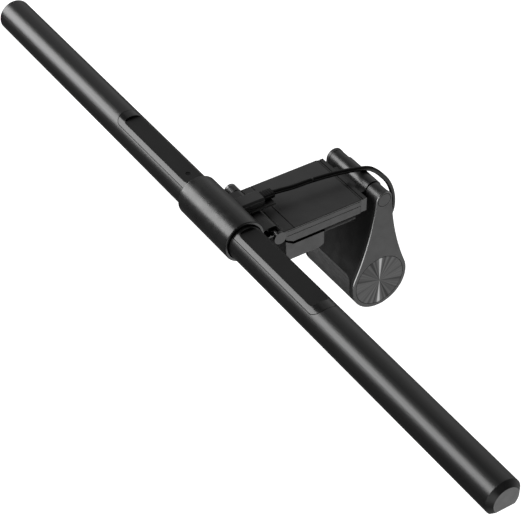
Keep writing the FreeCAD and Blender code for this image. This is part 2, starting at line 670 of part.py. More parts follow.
def collar_sleeve():
    """The sleeve with its neck and the tilt knuckle, one casting."""
    body = new_body("collar")
    ends = ("-collar_half", "collar_half")
    ring = pad(body, "YZ_Plane", ends, draw_circle, "collar_radius")
    rim = size("collar_half")
    round_edges(body, ring, "collar_edge", lambda middle, way: abs(abs(middle.x) - rim) < 1e-3)
    middle = ("-tilt_half", "tilt_half")
    neck = rectangle((4, "tilt_back"), ("-tilt_drop - tilt_radius", "-tilt_drop + tilt_radius"))
    pad(body, "YZ_Plane", middle, draw_corners, neck)
    pad(body, "YZ_Plane", middle, draw_circle, "tilt_radius", "tilt_back", "-tilt_drop")
    pocket_through(body, "YZ_Plane", draw_circle, "collar_bore")
    pocket_through(body, "YZ_Plane", draw_circle, "pin_radius + pin_gap", "tilt_back", "-tilt_drop")
    x, z = socket_span("socket_wide + 0.2", "socket_tall + 0.2")
    window = box("collar_window", x, (8, 16), z)
    core_y = ("core_front", "core_back")
    core_z = ("-tilt_drop - tilt_radius + core_wall", "-tilt_drop + tilt_radius - core_wall")
    core = box("neck_core_right", ("tilt_half - core_deep", "tilt_half + 1"), core_y, core_z)
    recess_x = ("tilt_half - recess_deep", "tilt_half + 1")
    recess = rod("pin_recess", "recess_radius", recess_x, "tilt_back", "-tilt_drop")
    right = fuse("neck_hollow_right", core, recess)
    left = mirrored("neck_hollow_left", right)
    subpart(cut("collar_sleeve_solid", body, window, right, left), "collar_sleeve")


def friction_bushes():
    span = ("bush_inner", "bush_outer")
    outside = rod("bush_outside", "collar_bore", span)
    inside = rod("bush_inside", "tube_radius + bush_gap", span)
    right = cut("bush_right", outside, inside)
    subpart(right, "friction_bush_right")
    subpart(mirrored("bush_left", right), "friction_bush_left")


def usb_socket():
    """The USB-C socket in its carrier, which reaches in through the tube's slot."""
    x, z = socket_span("carrier_wide", "carrier_tall")
    block = common("carrier_block", box("carrier_box", x, (6, 12), z), rod("carrier_limit", "collar_bore", x))
    x, z = socket_span("socket_wide", "socket_tall")
    hole = box("carrier_hole", x, (5, 13), z)
    subpart(cut("carrier_solid", block, hole), "socket_carrier")
    depth = ("socket_front", "socket_mouth")
    shell = box("socket_block", x, depth, z)
    x, z = socket_span("socket_wide - 2 * socket_wall", "socket_tall - 2 * socket_wall")
    mouth = box("socket_hollow", x, ("socket_front + 0.6", "socket_mouth + 1"), z)
    subpart(cut("socket_shell_solid", shell, mouth), "usb_socket_shell")
    x, z = socket_span("tongue_wide", "tongue_thick")
    subpart(box("tongue", x, ("socket_front + 0.6", "socket_mouth - 0.9"), z), "usb_socket_tongue")
    z = ("socket_rise + 0.3", "socket_rise + 0.3 + flex_thick")
    strip = box("flex_strip", ("socket_place - 2", "driver_inner + 1.9"), (1, "slot_front"), z)
    tab = box("flex_tab", ("socket_place - 2", "socket_place + 2"), ("slot_front", "socket_front"), z)
    subpart(fuse("flex_solid", strip, tab), "flex_cable")


def usb_plug():
    """The lead's USB-C plug: metal shell, moulded body with a shelf along its foot, and strain relief."""
    x, z = socket_span("socket_wide - 2 * socket_wall - 0.1", "socket_tall - 2 * socket_wall - 0.1")
    shell = box("plug_shell_block", x, ("socket_front + 1.3", "plug_front"), z)
    x, z = socket_span("tongue_wide + 0.4", "tongue_thick + 0.3")
    bore = box("plug_shell_bore", x, ("socket_front", "plug_front - 1"), z)
    subpart(cut("plug_shell_solid", shell, bore), "usb_plug_shell")
    body = new_body("plug")
    x, z = socket_span("plug_wide", "plug_tall")
    block = pad(body, "XY_Plane", z, draw_corners, rectangle(x, ("plug_front", "plug_back")))
    bevel_edges(body, block, "plug_edge", lambda middle, way: abs(way.y) > 5 and abs(way.x) < 1e-6)
    x, z = socket_span("plug_wide + 2 * shelf_spread", "plug_tall")
    shelf_z = (z[0], f"{z[0]} + shelf_tall")
    shelf = box("plug_shelf", x, ("plug_front + 1", "shelf_back"), shelf_z)
    subpart(fuse("plug_solid", body, shelf), "usb_plug_body")
    relief = new_body("relief")
    x, z = socket_span("relief_wide", "relief_tall")
    z = (shelf_z[1], z[1])
    block = pad(relief, "XY_Plane", z, draw_corners, rectangle(x, ("plug_back", "relief_back")))
    bevel_edges(relief, block, "relief_edge", lambda middle, way: abs(way.y) > 5 and abs(way.x) < 1e-6)
    subpart(relief, "strain_relief")


# ---- clip ----------------------------------------------------------------------------------------------

def tilt_ear():
    """One ear of the tilt hinge: a ring round the pin's end, joined to the frame by a half-round web."""
    span = ("ear_inner", "ear_outer")
    barrel = rod("ear_barrel", "ear_radius", span, "tilt_back", "-tilt_drop")
    front = box("ear_front", span, ("tilt_back - ear_radius - 1", "tilt_back + ear_mouth"), (-20, 0))
    web = box("ear_web", ("ear_inner", "clip_half"), ("tilt_back + ear_mouth", "clip_front + 1"),
              ("-frame_under", "-cover_under"))
    ring = rod("ear_ring", "flange_radius", ("ear_flange", "ear_outer"), "tilt_back", "-tilt_drop")
    bore = rod("ear_bore", "pin_radius", ("ear_inner - 1", "ear_outer + 1"), "tilt_back", "-tilt_drop")
    return cut("ear_right", fuse("ear_solid", cut("ear_back", barrel, front), web, ring), bore)


def clip_base():
    """Lower housing: an open tray with a sloped nose."""
    body = new_body("base")
    outline = [
        ("clip_front", "-frame_under"), ("clip_front", "-base_nose"), ("nose_back", "-base_under"),
        ("clip_back", "-base_under"), ("clip_back", "-frame_under"),
    ]
    shell = pad(body, "YZ_Plane", ("-clip_half", "clip_half"), draw_corners, outline)
    behind_nose = size("nose_back") + 1
    above_nose = size("-base_nose") + 1
    round_edges(body, shell, "nose_round",
                lambda middle, way: along_x(way) and middle.y < behind_nose and middle.z < above_nose)
    inner = rectangle(("clip_wall - clip_half", "clip_half - clip_wall"),
                      ("nose_back - 1", "clip_back - clip_wall"))
    pocket_down(body, ("clip_wall - base_under", "-frame_under"), draw_corners, inner)
    bosses = []
    holes = []
    for number, (side, y) in enumerate(screw_places()):
        bosses.append(peg(f"base_boss_{number}", "boss_radius", ("-base_under + 1", "-frame_under"), side, y))
        through = ("-base_under - 1", "-frame_under + 1")
        holes.append(peg(f"base_hole_{number}", "screw_radius + hole_gap", through, side, y))
        seat = ("-base_under - 1", "-base_under + seat_deep")
        holes.append(peg(f"base_sink_{number}", "screw_head + seam", seat, side, y))
    for number, (side, y) in enumerate(lip_screw_places()):
        boss = ("-base_under + 1", "-base_under + lip_boss")
        bosses.append(peg(f"lip_boss_{number}", "lip_screw_head + 0.6", boss, side, y))
        through = ("-base_under - 1", "-base_under + lip_boss + 1")
        holes.append(peg(f"lip_hole_{number}", "lip_screw_radius + seam", through, side, y))
    whole = fuse("base_with_bosses", body, *bosses)
    subpart(cut("clip_base_solid", whole, fuse("base_holes", *holes)), "clip_base")


def screw_places():
    """The four clip screws, as X and Y expressions."""
    sides = [f"{sign} * (clip_half - screw_aside)" for sign in (-1, 1)]
    return [(x, y) for x in sides for y in ("screw_front", "screw_back")]


def lip_screw_places():
    """The two lip screws, as X and Y expressions."""
    return [(f"{sign} * lip_screw_place", "lip_screw_back") for sign in (-1, 1)]


def clip_frame():
    """The middle layer, a ring between base and cover with bosses for the screws and the two tilt ears.

    The left ear is closed all round. The right one is open in front, where the pin is put in.
    """
    z = ("-frame_under", "-cover_under")
    core_x = ("joint_deep - clip_half", "clip_half - joint_deep")
    core = box("frame_core", core_x, ("clip_front + joint_deep", "clip_back"), z)
    band_z = ("joint_wide - frame_under", "-cover_under - joint_wide")
    band = box("frame_band", ("-clip_half", "clip_half"), ("clip_front", "clip_back"), band_z)
    outer = fuse("frame_outer", core, band)
    inner_x = ("clip_wall - clip_half", "clip_half - clip_wall")
    inner = box("frame_inner", inner_x, ("clip_front + clip_wall", "clip_back - clip_wall"), (-20, 0))
    bosses = [peg(f"frame_boss_{n}", "boss_radius", z, x, y) for n, (x, y) in enumerate(screw_places())]
    holes = [peg(f"frame_hole_{n}", "screw_radius", ("-frame_under - 1", "-cover_under - 1"), x, y)
             for n, (x, y) in enumerate(screw_places())]
    ear = tilt_ear()
    axis = ("tilt_back", "-tilt_drop")
    span = ("-ear_outer", "-ear_inner")
    closing = cut("ear_left_barrel", rod("ear_left_round", "ear_radius", span, *axis),
                  rod("ear_left_bore", "pin_radius", span, *axis))
    ears = (ear, mirrored("ear_left", ear), closing)
    ring = fuse("frame_ring", cut("frame_hollow", outer, inner), *bosses, *ears)
    subpart(cut("clip_frame_solid", ring, fuse("frame_holes", *holes)), "clip_frame")


def clip_screws():
    screws = []
    for number, (x, y) in enumerate(screw_places()):
        seat = "-base_under + seat_deep"
        head = peg(f"clip_screw_head_{number}", "screw_head", ("-base_under + screw_sunk", seat), x, y)
        shank = peg(f"clip_screw_shank_{number}", "screw_radius", (seat, "-cover_under - 1.1"), x, y)
        screws.append(fuse(f"clip_screw_{number}", head, shank))
    subpart(group("clip_screw_set", screws), "clip_screws")


def clip_cover():
    """Top cover with bevelled edges and a shallow groove across it near the front."""
    body = new_body("cover")
    outline = rectangle(("-clip_half", "clip_half"), ("cover_front", "clip_back"))
    plate = pad(body, "XY_Plane", ("-cover_under", "-cover_top"), draw_corners, outline)
    top = -size("cover_top")
    bevel_edges(body, plate, "cover_edge", lambda middle, way: abs(middle.z - top) < 1e-3)
    groove = rectangle(("-clip_half - 1", "clip_half + 1"), ("front_groove", "front_groove + groove_wide"))
    pocket_down(body, ("-cover_top - groove_deep", "-cover_top + 1"), draw_corners, groove)
    subpart(body, "clip_cover")


def rear_knuckle():
    """Rear block, hinge arm and middle knuckle, one casting."""
    block_x = ("knuckle_inset - clip_half", "clip_half - knuckle_inset")
    block_z = ("knuckle_inset - base_under", "-cover_top - knuckle_inset")
    core_x = ("joint_deep - clip_half", "clip_half - joint_deep")
    core_z = ("joint_deep - base_under", "-cover_top - joint_deep - knuckle_inset")
    core = box("rear_core", core_x, ("clip_back", "clip_back + 1"), core_z)
    block = box("rear_block", block_x, ("clip_back + joint_wide", "knuckle_back"), block_z)
    middle = ("-middle_half", "middle_half")
    arm_z = ("-swing_drop - arm_low", "arm_high - swing_drop")
    arm = box("rear_arm", middle, ("clip_back + 1", "swing_back"), arm_z)
    barrel = rod("middle_barrel", "middle_radius", middle, "swing_back", "-swing_drop")
    bore_x = ("-middle_half - 1", "middle_half + 1")
    bore = rod("middle_bore", "rear_pin_radius + pin_gap", bore_x, "swing_back", "-swing_drop")
    groove = box("rear_block_groove", ("-clip_half", "clip_half"), ("rear_groove", "rear_groove + groove_wide"),
                 ("-cover_top - knuckle_inset - groove_deep", 0))
    casting = fuse("rear_casting", core, block, arm, barrel)
    subpart(cut("rear_knuckle_solid", casting, bore, groove), "rear_knuckle")


def under_pad():
    body = new_body("rubber")
    ends = ("-clip_half", "clip_half")
    outline = rectangle(("under_front", "under_back"), ("-rest_drop", "-base_under"))
    block = pad(body, "YZ_Plane", ends, draw_corners, outline)
    front = size("under_front")
    round_edges(body, block, "nose_round", lambda middle, way: along_x(way) and abs(middle.y - front) < 1e-3)
    subpart(body, "under_pad")


def front_lip():
    """The lip in front of the bezel. A boss in its middle meets the base, so a slit shows at the sides."""
    body = new_body("lip")
    outline = [
        ("clip_front", "-base_nose - lip_slit"), ("clip_front + lip_lean", "-lip_low + lip_front_foot"),
        ("clip_front + lip_foot", "-lip_low"), ("lip_back - lip_foot", "-lip_low"),
        ("lip_back", "-lip_low + lip_back_foot"), ("lip_back", "-lip_top"), ("nose_back", "-lip_top"),
    ]
    block = pad(body, "YZ_Plane", ("-clip_half", "clip_half"), draw_corners, outline)
    foot_top = size("lip_front_foot - lip_low") + 0.5
    round_edges(body, block, "lip_round", lambda middle, way: along_x(way) and middle.z < foot_top)
    boss = box("lip_riser", ("-riser_half", "riser_half"), ("riser_front", "riser_back"),
               ("-lip_top - 1", "-base_under"))
    recess = box("lip_recess", ("-lip_pad_half", "lip_pad_half"), ("lip_back - lip_pad_thick", "lip_back + 1"),
                 ("-lip_pad_low", "-lip_pad_top"))
    depth = ("-base_under - lip_screw_deep - 1", "-base_under + 1")
    holes = [peg(f"lip_thread_{n}", "lip_screw_radius", depth, x, y)
             for n, (x, y) in enumerate(lip_screw_places())]
    subpart(cut("front_lip_solid", fuse("lip_with_riser", body, boss), recess, *holes), "front_lip")
    pad_x = ("seam - lip_pad_half", "lip_pad_half - seam")
    pad_z = ("seam - lip_pad_low", "-lip_pad_top - seam")
    subpart(box("lip_soft", pad_x, ("lip_back - lip_pad_thick", "lip_back"), pad_z), "lip_pad")
    screws = []
    seat = "-base_under + lip_boss"
    for number, (x, y) in enumerate(lip_screw_places()):
        head = peg(f"lip_screw_head_{number}", "lip_screw_head", (seat, f"{seat} + 1"), x, y)
        shank = peg(f"lip_screw_shank_{number}", "lip_screw_radius", ("-base_under - lip_screw_deep", seat), x, y)
        screws.append(fuse(f"lip_screw_{number}", head, shank))
    subpart(group("lip_screw_set", screws), "lip_screws")


def tilt_pin():
    """The front pin, with a disc head at one end and a pressed-on disc cap at the other."""
    axis = ("tilt_back", "-tilt_drop")
    shank = rod("tilt_shank", "pin_radius", ("-ear_outer - 0.05", "head_outer - pin_short"), *axis)
    head = rod("tilt_head", "head_radius", ("-head_outer", "-ear_outer - 0.05"), *axis)
    subpart(fuse("tilt_pin_solid", shank, head), "tilt_pin")
    cap = rod("tilt_cap", "head_radius", ("ear_outer + 0.05", "head_outer"), *axis)
    bore = rod("tilt_cap_bore", "pin_radius", ("ear_outer", "head_outer - pin_short"), *axis)
    subpart(cut("tilt_cap_solid", cap, bore), "tilt_pin_cap")


# ---- counterweight -------------------------------------------------------------------------------------

def flank_centre(top, top_radius, bob, bob_radius, side):
    """Centre of the flank's arc, which touches the top circle and the round weight from outside."""
    to_top = size("flank_radius") + top_radius
    to_bob = size("flank_radius") + bob_radius
    way = bob - top
    along = (to_top ** 2 - to_bob ** 2 + way.Length ** 2) / (2 * way.Length)
    aside = (to_top ** 2 - along ** 2) ** 0.5
    way.normalize()
    return top + way * along + Vector(-way.y, way.x, 0) * aside * side


def draw_teardrop(sketch, top_radius, bob_radius):
    """A small round top and a large round foot, joined by hollow flanks: four arcs that touch end to end."""
    top = Vector(size("swing_back"), -size("swing_drop"), 0)
    bob = Vector(size("bob_back"), -size("bob_drop"), 0)
    flanks = [flank_centre(top, size(top_radius), bob, size(bob_radius), side) for side in (-1, 1)]
    left, right = sorted(flanks, key=lambda centre: centre.x)
    meets = {}
    for name, flank in (("left", left), ("right", right)):
        for end, centre, radius in (("top", top, size(top_radius)), ("bob", bob, size(bob_radius))):
            meets[end, name] = centre + (flank - centre).normalize() * radius
    arcs = (
        (top, size(top_radius), meets["top", "right"], meets["top", "left"]),
        (left, size("flank_radius"), meets["bob", "left"], meets["top", "left"]),
        (bob, size(bob_radius), meets["bob", "left"], meets["bob", "right"]),
        (right, size("flank_radius"), meets["top", "right"], meets["bob", "right"]),
    )
    for centre, radius, start, end in arcs:
        circle = Part.Circle(centre, Vector(0, 0, 1), radius)
        sketch.addGeometry(Part.ArcOfCircle(circle, circle.parameter(start), circle.parameter(end)))
    for first, first_end, second, second_end in ((0, 2, 1, 2), (1, 1, 2, 1), (2, 2, 3, 2), (3, 1, 0, 1)):
        constrain(sketch, "Tangent", first, first_end, second, second_end)
    for arc, across, up in ((0, "swing_back", "-swing_drop"), (2, "bob_back", "-bob_drop")):
        constrain(sketch, "DistanceX", -1, 1, arc, 3, to=across)
        constrain(sketch, "DistanceY", -1, 1, arc, 3, to=up)
    for arc, radius in enumerate((top_radius, "flank_radius", bob_radius, "flank_radius")):
        constrain(sketch, "Radius", arc, to=radius)


def teardrop(name, span, top_radius, bob_radius):
    """A plate with the counterweight's outline."""
    body = new_body(name)
    pad(body, "YZ_Plane", span, draw_teardrop, top_radius, bob_radius)
    return body


def screen_pad_tool(name, gap, inner, outer):
    """Part of a ring round the weight's front, cut to a rounded rectangle as seen from the front."""
    body = new_body(name)
    half = f"screen_pad_half + ({gap})"
    x = (f"-({half})", half)
    z = (f"-screen_pad_low - ({gap})", f"-screen_pad_top + ({gap})")
    slab = pad(body, "XY_Plane", z, draw_corners, rectangle(x, ("bob_back - bob_radius - 2", "bob_back - 6")))
    top = size(z[1])
    round_edges(body, slab, "screen_pad_corner",
                lambda middle, way: abs(way.y) > 5 and abs(way.x) < 1e-6 and abs(middle.z - top) < 1e-3)
    ring_out = rod(f"{name}_outside", outer, x, "bob_back", "-bob_drop")
    ring_in = rod(f"{name}_inside", inner, x, "bob_back", "-bob_drop")
    return common(f"{name}_solid", body, cut(f"{name}_ring", ring_out, ring_in))


def counterweight_shell():
    """Front shell with the two outer knuckles, and the rear cover that closes it."""
    ends = ("-shell_half", "shell_half")
    outer = teardrop("shell", ends, "side_radius", "bob_radius - shell_inset")
    cavity_x = ("-slug_half - cavity_gap", "slug_half + cavity_gap")
    cavity = rod("slug_cavity", "slug_radius + cavity_gap", cavity_x, "bob_back", "-bob_drop")
    shaft_y = ("swing_back - shaft_half", "swing_back + shaft_half")
    shaft = box("shell_shaft", cavity_x, shaft_y, ("slug_radius / 2 - bob_drop", "-shaft_top"))
    notch_x = ("-side_inner", "side_inner")
    notch = box("hinge_notch", notch_x, ("swing_back - 2 * side_radius", "swing_back + 2 * side_radius"),
                ("-notch_low", 0))
    bore_x = ("-shell_half - 1", "shell_half + 1")
    bore = rod("shell_bore", "rear_pin_radius", bore_x, "swing_back", "-swing_drop")
    soft = screen_pad_tool("pad_seat", "seam", "bob_radius - screen_pad_thick", "bob_radius + 1")
    holes = fuse("shell_screw_holes", *[
        rod(f"shell_screw_hole_{n}", "cheek_screw_radius + seam", ("slug_half", "shell_half + 1"), y, z)
        for n, (y, z) in enumerate(cheek_screw_places())])
    solid = cut("shell_hollow", outer, cavity, shaft, notch, bore, soft, holes, mirrored("left_holes", holes))
    opening = rear_opening("cover_opening", 0)
    closing = rear_opening("cover_closing", "cover_gap")
    subpart(common("rear_cover_solid", solid, closing), "weight_back_cover")
    subpart(cut("weight_shell_solid", solid, opening), "weight_shell")
    slug = rod("slug", "slug_radius", ("-slug_half", "slug_half"), "bob_back", "-bob_drop")
    subpart(slug, "weight_slug")


def rear_opening(name, gap):
    """The block that parts the rear cover from the shell, smaller all round by a gap."""
    half = f"shell_half - cover_inset - {gap}"
    depth = (f"seam_plane + {gap}", "bob_back + bob_radius + 1")
    return box(name, (f"-({half})", half), depth, (f"{gap} - bob_drop - seam_foot", f"-seam_top - {gap}"))


def cheek_screw_places():
    """Three screws in a ring under each spun disc, as Y and Z expressions."""
    return [
        ("bob_back", "cheek_screw_high - bob_drop"),
        ("bob_back - cheek_screw_aside", "-bob_drop - cheek_screw_low"),
        ("bob_back + cheek_screw_aside", "-bob_drop - cheek_screw_low"),
    ]


def cheeks():
    """Side plates with seats for the spun disc and the pivot cap."""
    span = ("shell_half", "cheek_outer")
    plate = teardrop("cheek", span, "side_radius + 0.2", "bob_radius")
    face = size("cheek_outer")
    bevel_edges(plate, plate.Tip, "cheek_edge", lambda middle, way: abs(middle.x - face) < 1e-3)
    seat_x = ("cheek_outer - disc_thick", "cheek_outer + 1")
    disc_seat = rod("disc_seat", "disc_radius + disc_gap", seat_x, "bob_back", "-bob_drop")
    cap_seat = rod("cap_seat", "pivot_cap_radius + cap_gap", seat_x, "swing_back", "-swing_drop")
    through = ("shell_half - 1", "cheek_outer + 1")
    pin_hole = rod("cheek_pin_hole", "rear_pin_radius", through, "swing_back", "-swing_drop")
    seat = "cheek_outer - disc_thick - cheek_head_deep"
    tools = []
    screws = []
    for number, (y, z) in enumerate(cheek_screw_places()):
        tools.append(rod(f"cheek_hole_{number}", "cheek_screw_radius + seam", through, y, z))
        tools.append(rod(f"cheek_sink_{number}", "cheek_screw_head + seam", (seat, "cheek_outer"), y, z))
        head = rod(f"cheek_screw_head_{number}", "cheek_screw_head", (seat, f"{seat} + cheek_head_deep"), y, z)
        shank = rod(f"cheek_screw_shank_{number}", "cheek_screw_radius", ("slug_half + 0.4", seat), y, z)
        screws.append(fuse(f"cheek_screw_{number}", head, shank))
    right = cut("cheek_right_solid", plate, disc_seat, cap_seat, pin_hole, fuse("cheek_holes", *tools))
    subpart(right, "cheek_right")
    subpart(mirrored("cheek_left_solid", right), "cheek_left")
    right_screws = group("cheek_screws_right", screws)
    subpart(group("cheek_screw_set", [right_screws, mirrored("cheek_screws_left", right_screws)]), "cheek_screws")


def discs():
    x = ("cheek_outer - disc_thick", "cheek_outer")
    disc = rod("disc", "disc_radius", x, "bob_back", "-bob_drop")
    subpart(disc, "disc_right")
    subpart(mirrored("disc_twin", disc), "disc_left")
    cap = rod("pivot_cap", "pivot_cap_radius", x, "swing_back", "-swing_drop")
    subpart(cap, "pivot_cap_right")
    subpart(mirrored("pivot_cap_twin", cap), "pivot_cap_left")


def rear_pin():
    axis = ("swing_back", "-swing_drop")
    ends = ("disc_thick - cheek_outer", "cheek_outer - disc_thick")
    subpart(rod("rear_pin_rod", "rear_pin_radius", ends, *axis), "rear_pin")
    washers = []
    for name, span in (("right", ("middle_half + washer_gap", "side_inner - washer_gap")),
                       ("left", ("washer_gap - side_inner", "-middle_half - washer_gap"))):
        ring = rod(f"rear_washer_{name}", "rear_washer_radius", span, *axis)
        hole = rod(f"rear_washer_hole_{name}", "rear_pin_radius + pin_gap", span, *axis)
        washers.append(cut(f"rear_washer_{name}_solid", ring, hole))
    subpart(group("rear_washer_set", washers), "rear_washers")


def screen_pad():
    soft = screen_pad_tool("pad_soft", 0, "bob_radius - screen_pad_thick", "bob_radius")
    subpart(soft, "screen_pad")


# ---- lead ----------------------------------------------------------------------------------------------

def lead_piece(name, points, start_way, end_way):
    """A round cable along a smooth curve through the points, leaving and arriving in given directions."""
    curve = Part.BSplineCurve()
    route = [Vector(*map(size, point)) + TUBE_AXIS for point in points]
    curve.interpolate(Points=route, InitialTangent=start_way, FinalTangent=end_way)
    ring = Part.Wire(Part.Circle(route[0], start_way, size("lead_radius")).toShape())
    piece = doc.addObject("Part::Feature", f"{name}_sweep")
    piece.Shape = Part.Wire(curve.toShape()).makePipeShell([ring], True, True)
    subpart(piece, name)


def lead():
    """The lead crosses the middle knuckle and hangs down behind the weight to its USB-A plug."""
    clear = "(middle_radius + lead_radius + knuckle_gap)"
    join = (-0.8, 62, 0)
    join_way = Vector(0.08, 1, -0.04)
    front = [
        ("socket_place", "relief_back", "socket_rise"),
        ("socket_place + 0.5", "relief_back + 13", "socket_rise"),
        join,
    ]
    rear = [
        join,
        (0.8, 80, -1),
        ("cross_place", "swing_back", f"{clear} - swing_drop"),
        ("cross_place", f"swing_back + 0.62 * {clear}", f"0.78 * {clear} - swing_drop"),
        ("cross_place", "swing_back + 9.9", -8.8),
        ("cross_place", "swing_back + 15.2", -14.6),
        (2, "swing_back + 19.2", -20),
        (1.6, "swing_back + 22", -25.3),
        (-1, "swing_back + 26.8", -44),
        ("a_place + 1.5", "a_back + 1.4", -64),
        ("a_place", "a_back", "-a_top"),
    ]
    lead_piece("usb_cable_front", front, Vector(0, 1, 0), join_way)
    lead_piece("usb_cable_rear", rear, join_way, Vector(0, 0, -1))


def usb_a_plug():
    x = ("a_place - a_wide / 2", "a_place + a_wide / 2")
    y = ("a_back - a_thick / 2", "a_back + a_thick / 2")
    body = new_body("a_plug")
    block = pad(body, "XY_Plane", ("-a_top - a_long", "-a_top"), draw_corners, rectangle(x, y))
    round_edges(body, block, "a_round", lambda middle, way: upright(way))
    subpart(body, "usb_a_body")
    x = ("a_place - a_shell_wide / 2", "a_place + a_shell_wide / 2")
    y = ("a_back - a_shell_thick / 2", "a_back + a_shell_thick / 2")
    low = "-a_top - a_long - a_shell_long"
    shell = box("a_shell_block", x, y, (low, "-a_top - a_long"))
    inner_x = (f"{x[0]} + a_shell_wall", f"{x[1]} - a_shell_wall")
    inner_y = (f"{y[0]} + a_shell_wall", f"{y[1]} - a_shell_wall")
    hollow = box("a_shell_hollow", inner_x, inner_y, (f"{low} - 1", "-a_top - a_long - 2"))
    subpart(cut("a_shell_solid", shell, hollow), "usb_a_shell")


# ---- build and write -----------------------------------------------------------------------------------

for build in (bar_housing, diffuser, end_caps, touch_trims, touch_pads, touch_boards, led_strip, control_board,
              collar_sleeve, friction_bushes, usb_socket, usb_plug,
              clip_base, clip_frame, clip_screws, clip_cover, rear_knuckle, under_pad, front_lip, tilt_pin,
              counterweight_shell, cheeks, discs, rear_pin, screen_pad, lead, usb_a_plug):
    build()
doc.recompute()

for thing in doc.Objects:
    broken = {"Invalid", "Error"} & set(thing.State)
    if broken:
        raise RuntimeError(f"{thing.Name} failed to build: {thing.State}")
for thing in subparts:
    if thing.Shape.isNull() or not thing.Shape.isValid() or not thing.Shape.Solids:
        raise RuntimeError(f"{thing.Label} has no valid solid")

os.makedirs("parts", exist_ok=True)
for thing in subparts:
    thing.Shape.exportStep(os.path.join("parts", thing.Label + ".step"))
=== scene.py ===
import math
import bmesh
import bpy
from mathutils import Matrix, Vector


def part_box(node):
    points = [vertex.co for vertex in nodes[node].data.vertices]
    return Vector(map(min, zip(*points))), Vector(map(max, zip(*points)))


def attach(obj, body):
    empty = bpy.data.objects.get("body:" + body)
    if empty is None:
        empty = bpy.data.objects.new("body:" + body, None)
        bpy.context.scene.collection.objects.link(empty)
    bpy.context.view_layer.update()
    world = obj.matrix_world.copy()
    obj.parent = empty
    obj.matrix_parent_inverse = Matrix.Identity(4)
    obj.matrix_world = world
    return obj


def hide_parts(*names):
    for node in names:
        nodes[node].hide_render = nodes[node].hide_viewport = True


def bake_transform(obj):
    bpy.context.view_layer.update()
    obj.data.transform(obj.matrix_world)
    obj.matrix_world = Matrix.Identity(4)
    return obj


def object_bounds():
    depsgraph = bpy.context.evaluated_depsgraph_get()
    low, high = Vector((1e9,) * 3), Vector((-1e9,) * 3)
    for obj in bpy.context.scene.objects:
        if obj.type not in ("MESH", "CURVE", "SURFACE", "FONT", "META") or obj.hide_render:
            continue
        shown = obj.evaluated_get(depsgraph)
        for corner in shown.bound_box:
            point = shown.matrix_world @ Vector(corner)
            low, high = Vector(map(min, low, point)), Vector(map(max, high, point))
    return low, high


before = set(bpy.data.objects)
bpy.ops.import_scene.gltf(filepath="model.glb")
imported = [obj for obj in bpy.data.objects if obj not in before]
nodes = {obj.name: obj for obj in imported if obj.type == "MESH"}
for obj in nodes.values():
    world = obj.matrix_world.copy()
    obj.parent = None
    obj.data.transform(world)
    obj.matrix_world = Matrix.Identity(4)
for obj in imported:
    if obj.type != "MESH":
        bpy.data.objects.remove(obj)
cad_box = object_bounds()
scene = bpy.context.scene
MM = 0.001


# ---- places taken from the frame -----------------------------------------------------------------------

def middle(node):
    """The centre of a part's box."""
    low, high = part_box(node)
    return (low + high) / 2


def extent(node):
    """The size of a part's box along each axis."""
    low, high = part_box(node)
    return high - low


def mm(x, y, z):
    """A vector given in millimetres."""
    return Vector((x, y, z)) * MM


TUBE_LOW, TUBE_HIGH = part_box("bar_housing")
TUBE_RADIUS = (TUBE_HIGH.y - TUBE_LOW.y) / 2
TUBE_AXIS = Vector((0, middle("bar_housing").y, TUBE_HIGH.z - TUBE_RADIUS))  # middle of the collar
SWING_AXIS = middle("rear_pin")
BOB_CENTRE = middle("weight_slug")  # middle of the weight's round end


# ---- material nodes ------------------------------------------------------------------------------------

